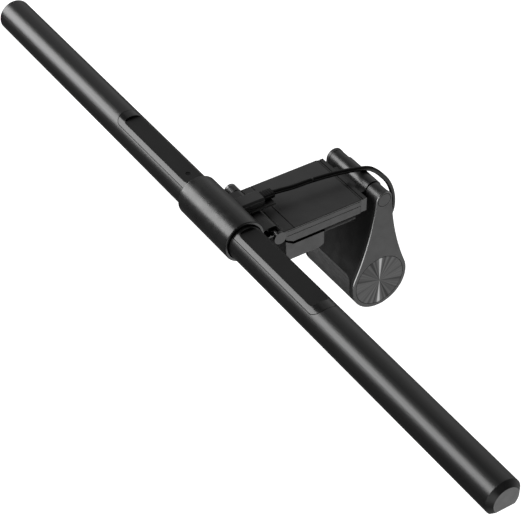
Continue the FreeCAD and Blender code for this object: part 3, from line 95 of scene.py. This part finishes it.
class Shader:
    """A node material being built, with one Principled surface."""

    def __init__(self, name):
        self.material = bpy.data.materials.new(name)
        self.material.use_nodes = True
        self.tree = self.material.node_tree
        self.tree.nodes.clear()
        self.surface = self.add("ShaderNodeBsdfPrincipled")
        output = self.add("ShaderNodeOutputMaterial")
        self.link(self.surface.outputs["BSDF"], output.inputs["Surface"])
        self.place = self.add("ShaderNodeTexCoord").outputs["Object"]

    def add(self, kind, **values):
        """A new node, with its inputs and settings given by name."""
        node = self.tree.nodes.new(kind)
        for key, value in values.items():
            label = key.replace("_", " ").capitalize()
            if label in node.inputs:
                self.feed(node.inputs[label], value)
            elif key in node.inputs:
                self.feed(node.inputs[key], value)
            else:
                setattr(node, key, value)
        return node

    def feed(self, socket, value):
        """Link an output to the socket, or set its plain value."""
        if isinstance(value, bpy.types.NodeSocket):
            self.link(value, socket)
        else:
            socket.default_value = value

    def link(self, source, target):
        """Join an output to an input."""
        self.tree.links.new(source, target)

    def set(self, **values):
        """Set or link inputs of the Principled surface."""
        for key, value in values.items():
            socket = self.surface.inputs[key.replace("_", " ")]
            if key == "Base_Color" and isinstance(value, (float, int)):
                value = (value, value, value, 1)
            self.feed(socket, value)

    def stretched(self, scale):
        """Object coordinates scaled by a different amount on each axis."""
        return self.add("ShaderNodeMapping", Vector=self.place, Scale=scale).outputs["Vector"]

    def noise(self, scale, detail=2.0, vector=None, roughness=0.5):
        """Soft noise about 0.5, in object coordinates unless a vector is given."""
        node = self.add("ShaderNodeTexNoise", Vector=vector or self.place)
        node.inputs["Scale"].default_value = scale
        node.inputs["Detail"].default_value = detail
        node.inputs["Roughness"].default_value = roughness
        return node.outputs["Fac"]

    def ranged(self, value, low, high, start=0.35, stop=0.65):
        """The value taken from start..stop to low..high."""
        node = self.add("ShaderNodeMapRange")
        self.link(value, node.inputs["Value"])
        for socket, number in zip(("From Min", "From Max", "To Min", "To Max"), (start, stop, low, high)):
            node.inputs[socket].default_value = number
        return node.outputs["Result"]

    def grey(self, value):
        """A grey colour from a number."""
        node = self.add("ShaderNodeCombineColor")
        for socket in node.inputs[:3]:
            self.link(value, socket)
        return node.outputs["Color"]

    def maths(self, operation, first, second):
        """One sum, product or other operation on two numbers or outputs."""
        node = self.add("ShaderNodeMath", operation=operation)
        self.feed(node.inputs[0], first)
        self.feed(node.inputs[1], second)
        return node.outputs["Value"]

    def sum(self, first, second):
        return self.maths("ADD", first, second)

    def times(self, first, second):
        return self.maths("MULTIPLY", first, second)

    def double_angle(self, unit):
        """A unit vector across X turned to twice its angle, so that opposite points share a value."""
        split = self.add("ShaderNodeSeparateXYZ", Vector=unit)
        y, z = split.outputs["Y"], split.outputs["Z"]
        joined = self.add("ShaderNodeCombineXYZ")
        self.link(self.maths("SUBTRACT", self.times(y, y), self.times(z, z)), joined.inputs["X"])
        self.link(self.times(self.times(y, z), 2.0), joined.inputs["Y"])
        return joined.outputs["Vector"]

    def painted_wedge(self, doubled, angle, half_width, gain):
        """A soft wedge of painted light in a base colour, at an angle and opposite it. A negative gain
        paints shade.
        """
        toward = self.add("ShaderNodeVectorMath", operation="DOT_PRODUCT")
        self.link(doubled, toward.inputs[0])
        toward.inputs[1].default_value = (math.cos(2 * angle), math.sin(2 * angle), 0)
        node = self.add("ShaderNodeMapRange", interpolation_type="SMOOTHSTEP")
        self.link(toward.outputs["Value"], node.inputs["Value"])
        edges = (math.cos(2 * half_width), 1.0, 0.0, gain)
        for socket, number in zip(("From Min", "From Max", "To Min", "To Max"), edges):
            node.inputs[socket].default_value = number
        return node.outputs["Result"]

    def edge_mask(self):
        """One on bevels between a flat side and the rim, nought elsewhere."""
        rim_lean, side_lean = 0.45, 0.93  # sideways part of the normal where a bevel begins and ends
        normal = self.add("ShaderNodeNewGeometry").outputs["True Normal"]
        split = self.add("ShaderNodeSeparateXYZ", Vector=normal)
        across = self.maths("ABSOLUTE", split.outputs["X"], 0.0)
        above = self.maths("GREATER_THAN", across, rim_lean)
        below = self.maths("LESS_THAN", across, side_lean)
        return self.times(above, below)

    def painted_seam_shade(self, reach):
        """Painted shade: one on open surfaces, falling to nought inside seams and grooves no wider than
        the reach, as ambient occlusion finds them.
        """
        shade = self.add("ShaderNodeAmbientOcclusion", samples=4)
        shade.inputs["Distance"].default_value = reach
        return self.ranged(shade.outputs["AO"], 0.0, 1.0, 0.35, 0.75)

    def bump(self, height, distance):
        """Fine relief of the surface, as deep as the distance."""
        node = self.add("ShaderNodeBump")
        node.inputs["Distance"].default_value = distance
        self.link(height, node.inputs["Height"])
        self.link(node.outputs["Normal"], self.surface.inputs["Normal"])


PAINTED_SHADE_REACH = 0.8 * MM  # widest seam that gets painted shade


def moulded(name, shade, roughness, grain=0.25 * MM, depth=0.006 * MM, specular=0.5):
    """Moulded plastic with a fine spark-eroded grain and faint handling marks, and painted shade in its
    seams and grooves.
    """
    shader = Shader(name)
    drift = shader.noise(1 / (14 * MM), 3)
    # Painted shade: ambient occlusion darkens the colour and the reflection in seams and grooves.
    clear = shader.painted_seam_shade(PAINTED_SHADE_REACH)
    tone_with_painted_shade = shader.times(shader.ranged(drift, shade * 0.88, shade * 1.12), clear)
    shader.set(Base_Color=shader.grey(tone_with_painted_shade))
    smear = shader.noise(1 / (6 * MM), 4)
    shader.set(Roughness=shader.ranged(smear, roughness - 0.04, roughness + 0.04))
    shader.set(Specular_IOR_Level=shader.times(clear, specular))
    shader.bump(shader.noise(1 / grain, 2), depth)
    return shader.material


def anodised(name, shade, roughness):
    """Black anodised extrusion: a satin skin with die lines that run along the tube."""
    shader = Shader(name)
    drift = shader.noise(1 / (30 * MM), 2)
    shader.set(Base_Color=shader.grey(shader.ranged(drift, shade * 0.9, shade * 1.1)))
    lines = shader.noise(1.0, 3, shader.stretched((12, 1 / (0.35 * MM), 1 / (0.35 * MM))))
    shader.set(Roughness=shader.ranged(lines, roughness - 0.03, roughness + 0.03))
    shader.bump(shader.noise(1 / (0.12 * MM), 2), 0.003 * MM)
    return shader.material


def rubber(name, shade, roughness=0.62, specular=0.35):
    """Soft silicone: nearly matt, with a pebbled skin."""
    shader = Shader(name)
    drift = shader.noise(1 / (5 * MM), 4)
    shader.set(Base_Color=shader.grey(shader.ranged(drift, shade * 0.85, shade * 1.15)))
    shader.set(Roughness=shader.ranged(shader.noise(1 / (2 * MM), 3), roughness - 0.06, roughness + 0.06))
    shader.set(Specular_IOR_Level=specular)
    shader.bump(shader.noise(1 / (0.35 * MM), 3), 0.02 * MM)
    return shader.material


def metal(name, colour, roughness, grain_scale=(400, 9000, 9000)):
    """Bare or plated metal with fine turning lines."""
    shader = Shader(name)
    lines = shader.noise(1.0, 3, shader.stretched(grain_scale))
    shader.set(Base_Color=(*colour, 1), Metallic=1.0)
    shader.set(Roughness=shader.ranged(lines, roughness - 0.06, roughness + 0.06))
    shader.bump(lines, 0.002 * MM)
    return shader.material


PAINTED_SHEEN_RAYS = [  # painted sheen: degrees above the level, half width in degrees, and what the ray adds to the painted sheen
    (90, 5, 4.2), (90, 11, 0.5), (2, 12, 0.3), (-19, 5, -0.5), (16, 4, -0.5),
    (37, 4, 0.3), (54, 5, 0.3), (62, 3, -0.25), (113, 5, -0.4),
]


def spun_disc_painted_sheen(name, node, shade):
    """Black metal spun on a lathe, with fine rings; its sheen, opening into rays alike on both sides, is
    painted highlight and shade in the base colour.
    """
    shader = Shader(name)
    centre = middle(node)
    from_centre = shader.add("ShaderNodeVectorMath", operation="SUBTRACT")
    shader.link(shader.place, from_centre.inputs[0])
    from_centre.inputs[1].default_value = centre
    flat = shader.add("ShaderNodeVectorMath", operation="MULTIPLY")
    shader.link(from_centre.outputs["Vector"], flat.inputs[0])
    flat.inputs[1].default_value = (0, 1, 1)
    distance = shader.add("ShaderNodeVectorMath", operation="LENGTH")
    shader.link(flat.outputs["Vector"], distance.inputs[0])
    turned = shader.add("ShaderNodeVectorMath", operation="NORMALIZE")
    shader.link(flat.outputs["Vector"], turned.inputs[0])
    doubled = shader.double_angle(turned.outputs["Vector"])
    # Painted sheen: streaks and rays of highlight and shade set round the centre and put into the base
    # colour.
    painted_sheen = shader.ranged(shader.noise(2.6, 4, doubled, 0.75), 0.45, 1.5, 0.36, 0.64)
    for degrees, half_width, gain in PAINTED_SHEEN_RAYS:
        painted_wedge = shader.painted_wedge(doubled, math.radians(degrees), math.radians(half_width), gain)
        painted_sheen = shader.sum(painted_sheen, painted_wedge)
    shader.set(Base_Color=shader.grey(shader.times(painted_sheen, shade)), Metallic=1.0)
    rings = shader.add("ShaderNodeTexNoise", noise_dimensions="1D")
    rings.inputs["Scale"].default_value = 1 / (0.2 * MM)
    shader.link(distance.outputs["Value"], rings.inputs["W"])
    shader.set(Roughness=shader.ranged(rings.outputs["Fac"], 0.36, 0.46))
    shader.bump(rings.outputs["Fac"], 0.003 * MM)
    return shader.material


def frosted(name):
    """Opal diffuser, unlit."""
    shader = Shader(name)
    drift = shader.noise(1 / (20 * MM), 2)
    shader.set(Base_Color=shader.grey(shader.ranged(drift, 0.82, 0.88)), Roughness=0.55)
    shader.set(Subsurface_Weight=0.2, Subsurface_Scale=1 * MM)
    shader.bump(shader.noise(1 / (0.3 * MM), 2), 0.01 * MM)
    return shader.material


def board(name):
    """White solder mask with faint copper tracks under it."""
    shader = Shader(name)
    weave = shader.add("ShaderNodeTexBrick", Vector=shader.place)
    weave.inputs["Scale"].default_value = 1 / (6 * MM)
    weave.inputs["Color1"].default_value = (0.78, 0.79, 0.76, 1)
    weave.inputs["Color2"].default_value = (0.7, 0.72, 0.68, 1)
    weave.inputs["Mortar"].default_value = (0.55, 0.5, 0.38, 1)
    weave.inputs["Mortar Size"].default_value = 0.03
    shader.set(Base_Color=weave.outputs["Color"], Roughness=0.4)
    shader.bump(weave.outputs["Fac"], 0.02 * MM)
    return shader.material


def coloured(name, colour, roughness, spread=0.1, size=2 * MM):
    """A small moulded part in one colour, mottled a little."""
    shader = Shader(name)
    blend = shader.add("ShaderNodeMixRGB")
    blend.inputs["Color1"].default_value = (*(c * (1 - spread) for c in colour), 1)
    blend.inputs["Color2"].default_value = (*(min(c * (1 + spread), 1) for c in colour), 1)
    shader.link(shader.noise(1 / size, 3), blend.inputs["Fac"])
    shader.set(Base_Color=blend.outputs["Color"], Roughness=roughness)
    shader.bump(shader.noise(1 / (0.3 * MM), 2), 0.008 * MM)
    return shader.material


def cheek_plate(name, shade, roughness):
    """A moulded side plate whose bevelled rim is polished bright, with painted shade in its seams and
    grooves.
    """
    shader = Shader(name)
    rim = shader.edge_mask()
    drift = shader.ranged(shader.noise(1 / (14 * MM), 3), shade * 0.9, shade * 1.1)
    # Painted shade: ambient occlusion darkens the colour and the reflection in seams and grooves.
    clear = shader.painted_seam_shade(PAINTED_SHADE_REACH)
    tone_with_painted_shade = shader.times(shader.sum(drift, shader.times(rim, 0.5)), clear)
    shader.set(Base_Color=shader.grey(tone_with_painted_shade), Metallic=rim, Specular_IOR_Level=shader.times(clear, 0.42))
    smear = shader.ranged(shader.noise(1 / (6 * MM), 4), roughness - 0.04, roughness + 0.04)
    shader.set(Roughness=shader.maths("SUBTRACT", smear, shader.times(rim, 0.14)))
    shader.bump(shader.noise(1 / (0.25 * MM), 2), 0.003 * MM)
    return shader.material


TUBE = anodised("tube_black", 0.007, 0.33)
CASE = moulded("case_black", 0.02, 0.44)
DEEP = moulded("shell_black", 0.008, 0.38)
HINGE = moulded("hinge_black", 0.009, 0.3, grain=0.2 * MM, depth=0.003 * MM)
COLLAR = moulded("collar_black", 0.009, 0.3, grain=0.2 * MM, depth=0.003 * MM)
CAP = moulded("cap_black", 0.012, 0.38)
TRIM = moulded("trim_black", 0.008, 0.18, depth=0.0005 * MM, specular=0.4)
TOUCH = moulded("touch_black", 0.007, 0.5, depth=0.002 * MM, specular=0.25)
CHEEK = cheek_plate("cheek_black", 0.02, 0.42)
PAD = rubber("pad_rubber", 0.045)
LEAD = rubber("lead_rubber", 0.003, 0.36, specular=0.16)
NICKEL = metal("nickel", (0.62, 0.6, 0.56), 0.28)
STEEL = metal("turned_steel", (0.45, 0.45, 0.46), 0.34)
DARK_STEEL = metal("blacked_steel", (0.2, 0.2, 0.202), 0.42)
BUSH = moulded("bush_acetal", 0.012, 0.4)
BOARD = board("white_board")
WINDOW = moulded("smoked_window", 0.003, 0.3, depth=0.0005 * MM, specular=0.15)

NODE_MATERIALS = {
    TUBE: ["bar_housing"],
    CAP: ["end_cap_left", "end_cap_right"],
    COLLAR: ["collar_sleeve"],
    TRIM: ["touch_trim_left", "touch_trim_right"],
    TOUCH: ["touch_pad_left", "touch_pad_right"],
    CASE: ["clip_base", "clip_frame", "clip_cover", "front_lip", "usb_plug_body", "usb_a_body",
           "usb_socket_tongue"],
    HINGE: ["rear_knuckle", "tilt_pin_cap"],
    DEEP: ["weight_shell", "weight_back_cover"],
    CHEEK: ["cheek_left", "cheek_right", "pivot_cap_left", "pivot_cap_right"],
    PAD: ["under_pad", "lip_pad", "screen_pad"],
    LEAD: ["strain_relief", "usb_cable_front", "usb_cable_rear"],
    NICKEL: ["usb_socket_shell", "usb_plug_shell", "usb_a_shell", "clip_screws", "lip_screws",
             "cheek_screws"],
    STEEL: ["rear_pin", "weight_slug"],
    DARK_STEEL: ["tilt_pin"],
    BUSH: ["friction_bush_left", "friction_bush_right", "socket_carrier", "rear_washers"],
    BOARD: ["led_board", "control_board", "touch_board_left", "touch_board_right"],
    WINDOW: ["light_sensor"],
    frosted("opal_diffuser"): ["diffuser"],
    coloured("led_phosphor", (0.82, 0.66, 0.2), 0.35): ["leds"],
    coloured("chip_black", (0.035, 0.035, 0.037), 0.45): ["board_parts"],
    coloured("amber_film", (0.5, 0.26, 0.07), 0.3): ["flex_cable"],
    spun_disc_painted_sheen("spun_painted_sheen_left", "disc_left", 0.05): ["disc_left"],
    spun_disc_painted_sheen("spun_painted_sheen_right", "disc_right", 0.05): ["disc_right"],
}


def paint(node, material):
    """Give a shown part its material."""
    slots = nodes[node].data.materials
    slots.clear()
    slots.append(material)


for material, names in NODE_MATERIALS.items():
    for name in names:
        paint(name, material)


# ---- softened edges ------------------------------------------------------------------------------------

ROUNDED = {  # edge radius of each part whose edges are broken
    0.3 * MM: ["front_lip", "usb_plug_body", "usb_a_body"],
    0.2 * MM: ["clip_base"],
    0.12 * MM: ["weight_shell", "weight_back_cover", "end_cap_left", "end_cap_right", "touch_trim_left",
                "touch_trim_right"],
    0.08 * MM: ["tilt_pin", "tilt_pin_cap", "collar_sleeve", "touch_pad_left", "touch_pad_right"],
}


def soften(node, radius):
    """Break the sharp edges with a small round."""
    part = nodes[node]
    if "custom_normal" in part.data.attributes:
        part.data.attributes.remove(part.data.attributes["custom_normal"])
    weld = part.modifiers.new("weld", "WELD")
    weld.merge_threshold = 0.001 * MM
    flat = part.modifiers.new("flat_faces", "DECIMATE")
    flat.decimate_type = "DISSOLVE"
    flat.angle_limit = math.radians(0.5)
    edge = part.modifiers.new("edge_round", "BEVEL")
    edge.width = radius
    edge.segments = 2
    edge.limit_method = "ANGLE"
    edge.angle_limit = math.radians(28)
    edge.harden_normals = True
    for face in part.data.polygons:
        face.use_smooth = True


for radius, names in ROUNDED.items():
    for name in names:
        soften(name, radius)


# ---- pieces made here ----------------------------------------------------------------------------------

def new_piece(name, shape, material):
    """A smooth-shaded object from a bmesh."""
    bmesh.ops.recalc_face_normals(shape, faces=shape.faces)
    mesh = bpy.data.meshes.new(name)
    shape.to_mesh(mesh)
    shape.free()
    for face in mesh.polygons:
        face.use_smooth = True
    mesh.materials.append(material)
    piece = bpy.data.objects.new(name, mesh)
    scene.collection.objects.link(piece)
    return piece


def loft(shape, rings):
    """Quads between closed rings of points, with a flat face at each end."""
    rows = [[shape.verts.new(point) for point in ring] for ring in rings]
    for near, far in zip(rows, rows[1:]):
        for number in range(len(near)):
            after = (number + 1) % len(near)
            shape.faces.new((near[number], near[after], far[after], far[number]))
    shape.faces.new(rows[0])
    shape.faces.new(rows[-1])


def between(before, after, leave, arrive, t):
    """The place at t on a curve from one point to the next, which leaves and arrives along two vectors."""
    return (before * (2 * t ** 3 - 3 * t ** 2 + 1) + after * (3 * t ** 2 - 2 * t ** 3)
            + leave * (t ** 3 - 2 * t ** 2 + t) + arrive * (t ** 3 - t ** 2))


def smooth_path(points, start_way, end_way, step):
    """A curve through the points that leaves and arrives in given directions, as closely spaced places."""
    gaps = [(after - before).length for before, after in zip(points, points[1:])]
    ways = [Vector(start_way).normalized()]
    for number in range(1, len(points) - 1):
        back = (points[number] - points[number - 1]) / gaps[number - 1]
        ahead = (points[number + 1] - points[number]) / gaps[number]
        ways.append((back * gaps[number] + ahead * gaps[number - 1]) / (gaps[number - 1] + gaps[number]))
    ways.append(Vector(end_way).normalized())
    path = []
    for number, gap in enumerate(gaps):
        count = max(2, round(gap / step))
        for part in range(count):
            path.append(between(points[number], points[number + 1],
                                ways[number] * gap, ways[number + 1] * gap, part / count))
    return path + [points[-1]]


def round_sweep(path, radius, sides=20):
    """Rings of points round a path. The section doesn't twist."""
    rings = []
    across = Vector((1, 0, 0))
    for number, place in enumerate(path):
        way = (path[min(number + 1, len(path) - 1)] - path[max(number - 1, 0)]).normalized()
        across = (across - way * across.dot(way)).normalized()
        up = way.cross(across)
        turns = [2 * math.pi * side / sides for side in range(sides)]
        rings.append([place + (across * math.cos(turn) + up * math.sin(turn)) * radius for turn in turns])
    return rings


LEAD_RADIUS = 1.5 * MM
KNUCKLE_WALL = 3.9 * MM  # from the rear pin to the outside of the middle knuckle
KNUCKLE_GAP = 0.35 * MM  # between that knuckle and the lead that crosses it
JOIN_WAY = (0.08, 1, -0.04)  # direction of the lead where its two lengths meet


def lead_route():
    """The lead from the strain relief over the middle knuckle to the USB-A plug, in two lengths."""
    socket, plug_body = middle("usb_socket_shell"), middle("usb_a_body")
    start = Vector((socket.x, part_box("strain_relief")[1].y, socket.z))
    plug = Vector((plug_body.x, plug_body.y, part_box("usb_a_body")[1].z))
    join = TUBE_AXIS + mm(-0.8, 62, 0)
    knuckle_radius = extent("rear_pin").z / 2 + KNUCKLE_WALL
    clear = knuckle_radius + LEAD_RADIUS + KNUCKLE_GAP
    crossing = SWING_AXIS + mm(2.2, 0, 0)
    over = [crossing + Vector((0, 0, clear)), crossing + Vector((0, 0.62 * clear, 0.78 * clear))]
    down = [SWING_AXIS + mm(*place) for place in (
        (2.2, 9.9, 2.3), (2.2, 15.2, -3.5), (2, 19.2, -8.9), (1.6, 22, -14.2), (-1, 26.8, -32.9))]
    front = [start, start + mm(1.3, 13, -0.4), join]
    rear = [join, TUBE_AXIS + mm(0.8, 80, -1), *over, *down, plug + mm(1.5, 1.4, 11), plug]
    return front, rear


def lead_length(name, points, start_way, end_way):
    """One length of the round lead, through the points."""
    shape = bmesh.new()
    loft(shape, round_sweep(smooth_path(points, start_way, end_way, step=0.8 * MM), LEAD_RADIUS))
    return new_piece(name, shape, LEAD)


def lead():
    """The lead in a front length and a rear length, which stand in for the two cable parts."""
    front, rear = lead_route()
    near = lead_length("lead_front", front, (0, 1, 0), JOIN_WAY)
    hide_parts("usb_cable_front")
    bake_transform(near)
    far = lead_length("lead_rear", rear, JOIN_WAY, (0, 0, -1))
    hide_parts("usb_cable_rear")
    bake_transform(far)


def boot_ring(centre, half, y, inset, sides=32):
    """One ring of the boot: a soft-cornered square across the lead, drawn in by the inset."""
    ring = []
    for side in range(sides):
        turn = 2 * math.pi * side / sides
        x, z = (math.copysign(math.sqrt(abs(part)), part) for part in (math.cos(turn), math.sin(turn)))
        ring.append(Vector((centre.x + x * (half.x - inset), y, centre.z + z * (half.z - inset))))
    return ring


def strain_boot():
    """The boot behind the plug: a soft-edged block, grooved so that it flexes, with a rounded rear end."""
    low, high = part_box("strain_relief")
    centre, half = (low + high) / 2, (high - low) / 2
    steps, grooves, groove_depth, nose_radius = 80, 5, 0.09 * MM, 0.5 * MM
    rings = []
    for step in range(steps + 1):
        t = step / steps
        y = low.y + (high.y - low.y) * t
        past = max(nose_radius - (high.y - y), 0)
        nose_inset = nose_radius - math.sqrt(nose_radius ** 2 - past ** 2)
        groove_inset = groove_depth * max(0.0, math.sin(2 * math.pi * (grooves * t - 0.25))) ** 0.5
        rings.append(boot_ring(centre, half, y, nose_inset + groove_inset))
    shape = bmesh.new()
    loft(shape, rings)
    boot = new_piece("strain_boot", shape, LEAD)
    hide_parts("strain_relief")
    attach(boot, "collar")


PATCH_COLUMNS, PATCH_ROWS = 56, 64


def closer_at_ends(count):
    """Steps from -1 to 1, closer together near the ends."""
    return [math.sin(math.pi / 2 * (2 * number / count - 1)) for number in range(count + 1)]


def patch_limits(x, half_x, half_up, corners):
    """Lowest and highest point at x of an outline whose upper and lower corners have the given radii."""
    out = []
    for radius in corners:
        past = abs(x) - (half_x - radius)
        drop = radius - math.sqrt(max(radius ** 2 - past ** 2, 0)) if past > 0 else 0
        out.append(half_up - drop)
    upper, lower = out
    return -lower, upper


def close_patch(shape, top, base):
    """Faces over the top and the base, and round the rim between them."""
    for sheet, order in ((top, 1), (base, -1)):
        for near, far in zip(sheet, sheet[1:]):
            for number in range(len(near) - 1):
                corner = (near[number], far[number], far[number + 1], near[number + 1])
                shape.faces.new(corner[::order])
    rims = [([column[0] for column in sheet], [column[-1] for column in sheet], sheet[0], sheet[-1])
            for sheet in (top, base)]
    for upper, lower in zip(*rims):
        for number in range(len(upper) - 1):
            shape.faces.new((upper[number], upper[number + 1], lower[number + 1], lower[number]))
    bmesh.ops.remove_doubles(shape, verts=shape.verts, dist=0.002 * MM)


def soft_patch(name, half_x, half_up, thickness, edge, corners, rib, place):
    """A rubber pad: rounded outline and edges, fine ribs across its face, on a base that fits its seat.

    edge is the radius of its edges. corners are the radii at its upper and lower end. rib is the pitch and
    depth of the ribs. place turns a distance along X, a height and a distance off the seat into a place.
    """
    pitch, depth = rib
    shape = bmesh.new()
    top, base = [], []
    for u in closer_at_ends(PATCH_COLUMNS):
        x = u * half_x
        low, high = patch_limits(x, half_x, half_up, corners)
        column, foot = [], []
        for v in closer_at_ends(PATCH_ROWS):
            up = low + (high - low) * (v + 1) / 2
            inside = min(half_x - abs(x), up - low, high - up)
            curve = math.sqrt(1 - (1 - min(inside / edge, 1)) ** 2)
            ribs = depth * (0.5 - 0.5 * math.cos(2 * math.pi * up / pitch)) * min(inside / (2 * edge), 1)
            column.append(shape.verts.new(place(x, up, thickness - edge + edge * curve - ribs)))
            foot.append(shape.verts.new(place(x, up, 0)))
        top.append(column)
        base.append(foot)
    close_patch(shape, top, base)
    return new_piece(name, shape, PAD)


def rest_pad():
    """The pad under the clip, which stands on the screen's top edge."""
    size, centre = extent("under_pad"), middle("under_pad")
    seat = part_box("under_pad")[1].z
    pad = soft_patch("rest_pad", size.x / 2, size.y / 2, size.z, edge=1.1 * MM, corners=(0, 0),
                     rib=(1.6 * MM, 0.12 * MM),
                     place=lambda x, up, out: Vector((x, centre.y + up, seat - out)))
    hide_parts("under_pad")
    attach(pad, "clip")


def bezel_pad():
    """The pad on the back of the lip, which leans on the screen's bezel."""
    size, centre = extent("lip_pad"), middle("lip_pad")
    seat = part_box("lip_pad")[0].y
    corner = 0.8 * MM
    pad = soft_patch("bezel_pad", size.x / 2, size.z / 2, size.y, edge=0.3 * MM, corners=(corner, corner),
                     rib=(1.0 * MM, 0.1 * MM),
                     place=lambda x, up, out: Vector((x, seat + out, centre.z + up)))
    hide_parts("lip_pad")
    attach(pad, "clip")


def weight_pad():
    """The pad on the round of the weight, which leans on the screen's back."""
    size, centre = extent("screen_pad"), middle("screen_pad")
    outer = BOB_CENTRE.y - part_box("screen_pad")[0].y
    thick = 1.0 * MM

    def on_weight(x, up, out):
        """A place at a height and a distance out from the seat, which curves round the weight."""
        height = centre.z + up - BOB_CENTRE.z
        angle = math.asin(height / outer)
        reach = outer - thick + out
        return Vector((x, BOB_CENTRE.y - reach * math.cos(angle), BOB_CENTRE.z + reach * math.sin(angle)))

    pad = soft_patch("weight_pad", size.x / 2, size.z / 2, thick, edge=0.5 * MM, corners=(5 * MM, 0),
                     rib=(1.6 * MM, 0.1 * MM), place=on_weight)
    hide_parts("screen_pad")
    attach(pad, "counterweight")


lead()
strain_boot()
rest_pad()
bezel_pad()
weight_pad()


# ---- stage, light and camera ---------------------------------------------------------------------------

def studio_floor():
    """A plain pale floor, well below the lamp, as if the lamp were held in the air."""
    half_width, drop = 12.0, 0.35
    mesh = bpy.data.meshes.new("floor")
    shape = bmesh.new()
    bmesh.ops.create_grid(shape, x_segments=1, y_segments=1, size=half_width)
    shape.to_mesh(mesh)
    shape.free()
    floor = bpy.data.objects.new("floor", mesh)
    floor.location = (0, 0, cad_box[0].z - drop)
    shader = Shader("floor_white")
    seen = shader.add("ShaderNodeLightPath").outputs["Is Camera Ray"]
    shader.set(Base_Color=0.35, Roughness=0.8, Emission_Color=(1, 1, 1, 1), Emission_Strength=seen)
    mesh.materials.append(shader.material)
    floor.visible_glossy = False
    scene.collection.objects.link(floor)


ROOM_GLIMMER = 0.05  # brightness of the room between the glows
GLOWS = [  # where light comes from, how far its middle and its edge reach as cosines, and its strength
    ((-0.64, 0.55, 0.52), 0.95, 0.8, 0.42),
    ((0.64, 0.42, -0.64), 0.93, 0.6, 2.1),
    ((-0.70, 0.55, -0.45), 0.9, 0.5, 0.1),
    ((0.66, -0.68, 0.0), 0.97, 0.88, 1.8),
    ((-0.1, 0.95, 0.3), 0.9, 0.6, 0.3),
]


def glow(tree, direction, toward, inner, outer, strength):
    """A soft round patch of light in the room, whole inside its middle and gone at its edge."""
    match = tree.nodes.new("ShaderNodeVectorMath")
    match.operation = "DOT_PRODUCT"
    tree.links.new(direction, match.inputs[0])
    match.inputs[1].default_value = Vector(toward).normalized()
    ramp = tree.nodes.new("ShaderNodeMapRange")
    ramp.interpolation_type = "SMOOTHSTEP"
    tree.links.new(match.outputs["Value"], ramp.inputs["Value"])
    for socket, number in zip(("From Min", "From Max", "To Min", "To Max"), (outer, inner, 0, strength)):
        ramp.inputs[socket].default_value = number
    return ramp.outputs["Result"]


def studio_world():
    """A dark room for reflections with soft glows in it, white where the camera looks past the lamp."""
    world = bpy.data.worlds.new("studio")
    scene.world = world
    world.use_nodes = True
    tree = world.node_tree
    tree.nodes.clear()
    direction = tree.nodes.new("ShaderNodeTexCoord").outputs["Generated"]
    total = tree.nodes.new("ShaderNodeValue").outputs[0]
    total.default_value = ROOM_GLIMMER
    for values in GLOWS:
        add = tree.nodes.new("ShaderNodeMath")
        tree.links.new(total, add.inputs[0])
        tree.links.new(glow(tree, direction, *values), add.inputs[1])
        total = add.outputs[0]
    seen = tree.nodes.new("ShaderNodeLightPath").outputs["Is Camera Ray"]
    pick = tree.nodes.new("ShaderNodeMapRange")
    tree.links.new(seen, pick.inputs["Value"])
    tree.links.new(total, pick.inputs["To Min"])
    pick.inputs["To Max"].default_value = 1.0
    background = tree.nodes.new("ShaderNodeBackground")
    tree.links.new(pick.outputs["Result"], background.inputs["Strength"])
    output = tree.nodes.new("ShaderNodeOutputWorld")
    tree.links.new(background.outputs[0], output.inputs["Surface"])


def softbox(name, direction, distance, long_side, short_side, radiance):
    """A rectangular light facing the lamp, its long side along the tube, of a given surface brightness."""
    data = bpy.data.lights.new(name, "AREA")
    data.shape = "RECTANGLE"
    data.size, data.size_y = long_side, short_side
    data.energy = radiance * math.pi * long_side * short_side
    light = bpy.data.objects.new(name, data)
    out = Vector(direction).normalized()
    light.location = TUBE_AXIS + out * distance
    across = Vector((1, 0, 0))
    up = out.cross(across).normalized()
    across = up.cross(out)
    light.rotation_euler = Matrix((across, up, out)).transposed().to_euler()
    scene.collection.objects.link(light)


def camera():
    """The camera stands beyond the tube's +X end, in front of the screen and above, facing the lamp."""
    azimuth, elevation = math.radians(56.96), math.radians(39.99)
    stand = Vector((0.67806, -0.41428, 0.63724))
    data = bpy.data.cameras.new("camera")
    data.lens = 126.35
    data.clip_start = 0.01
    view = bpy.data.objects.new("camera", data)
    view.location = TUBE_AXIS + stand
    view.rotation_euler = (math.pi / 2 - elevation, 0, azimuth)
    scene.collection.objects.link(view)
    scene.camera = view


studio_floor()
studio_world()
softbox("key", direction=(-0.64, -0.6, 0.47), distance=3.0, long_side=6.0, short_side=1.75, radiance=7.0)
camera()
scene.view_settings.view_transform = "Standard"
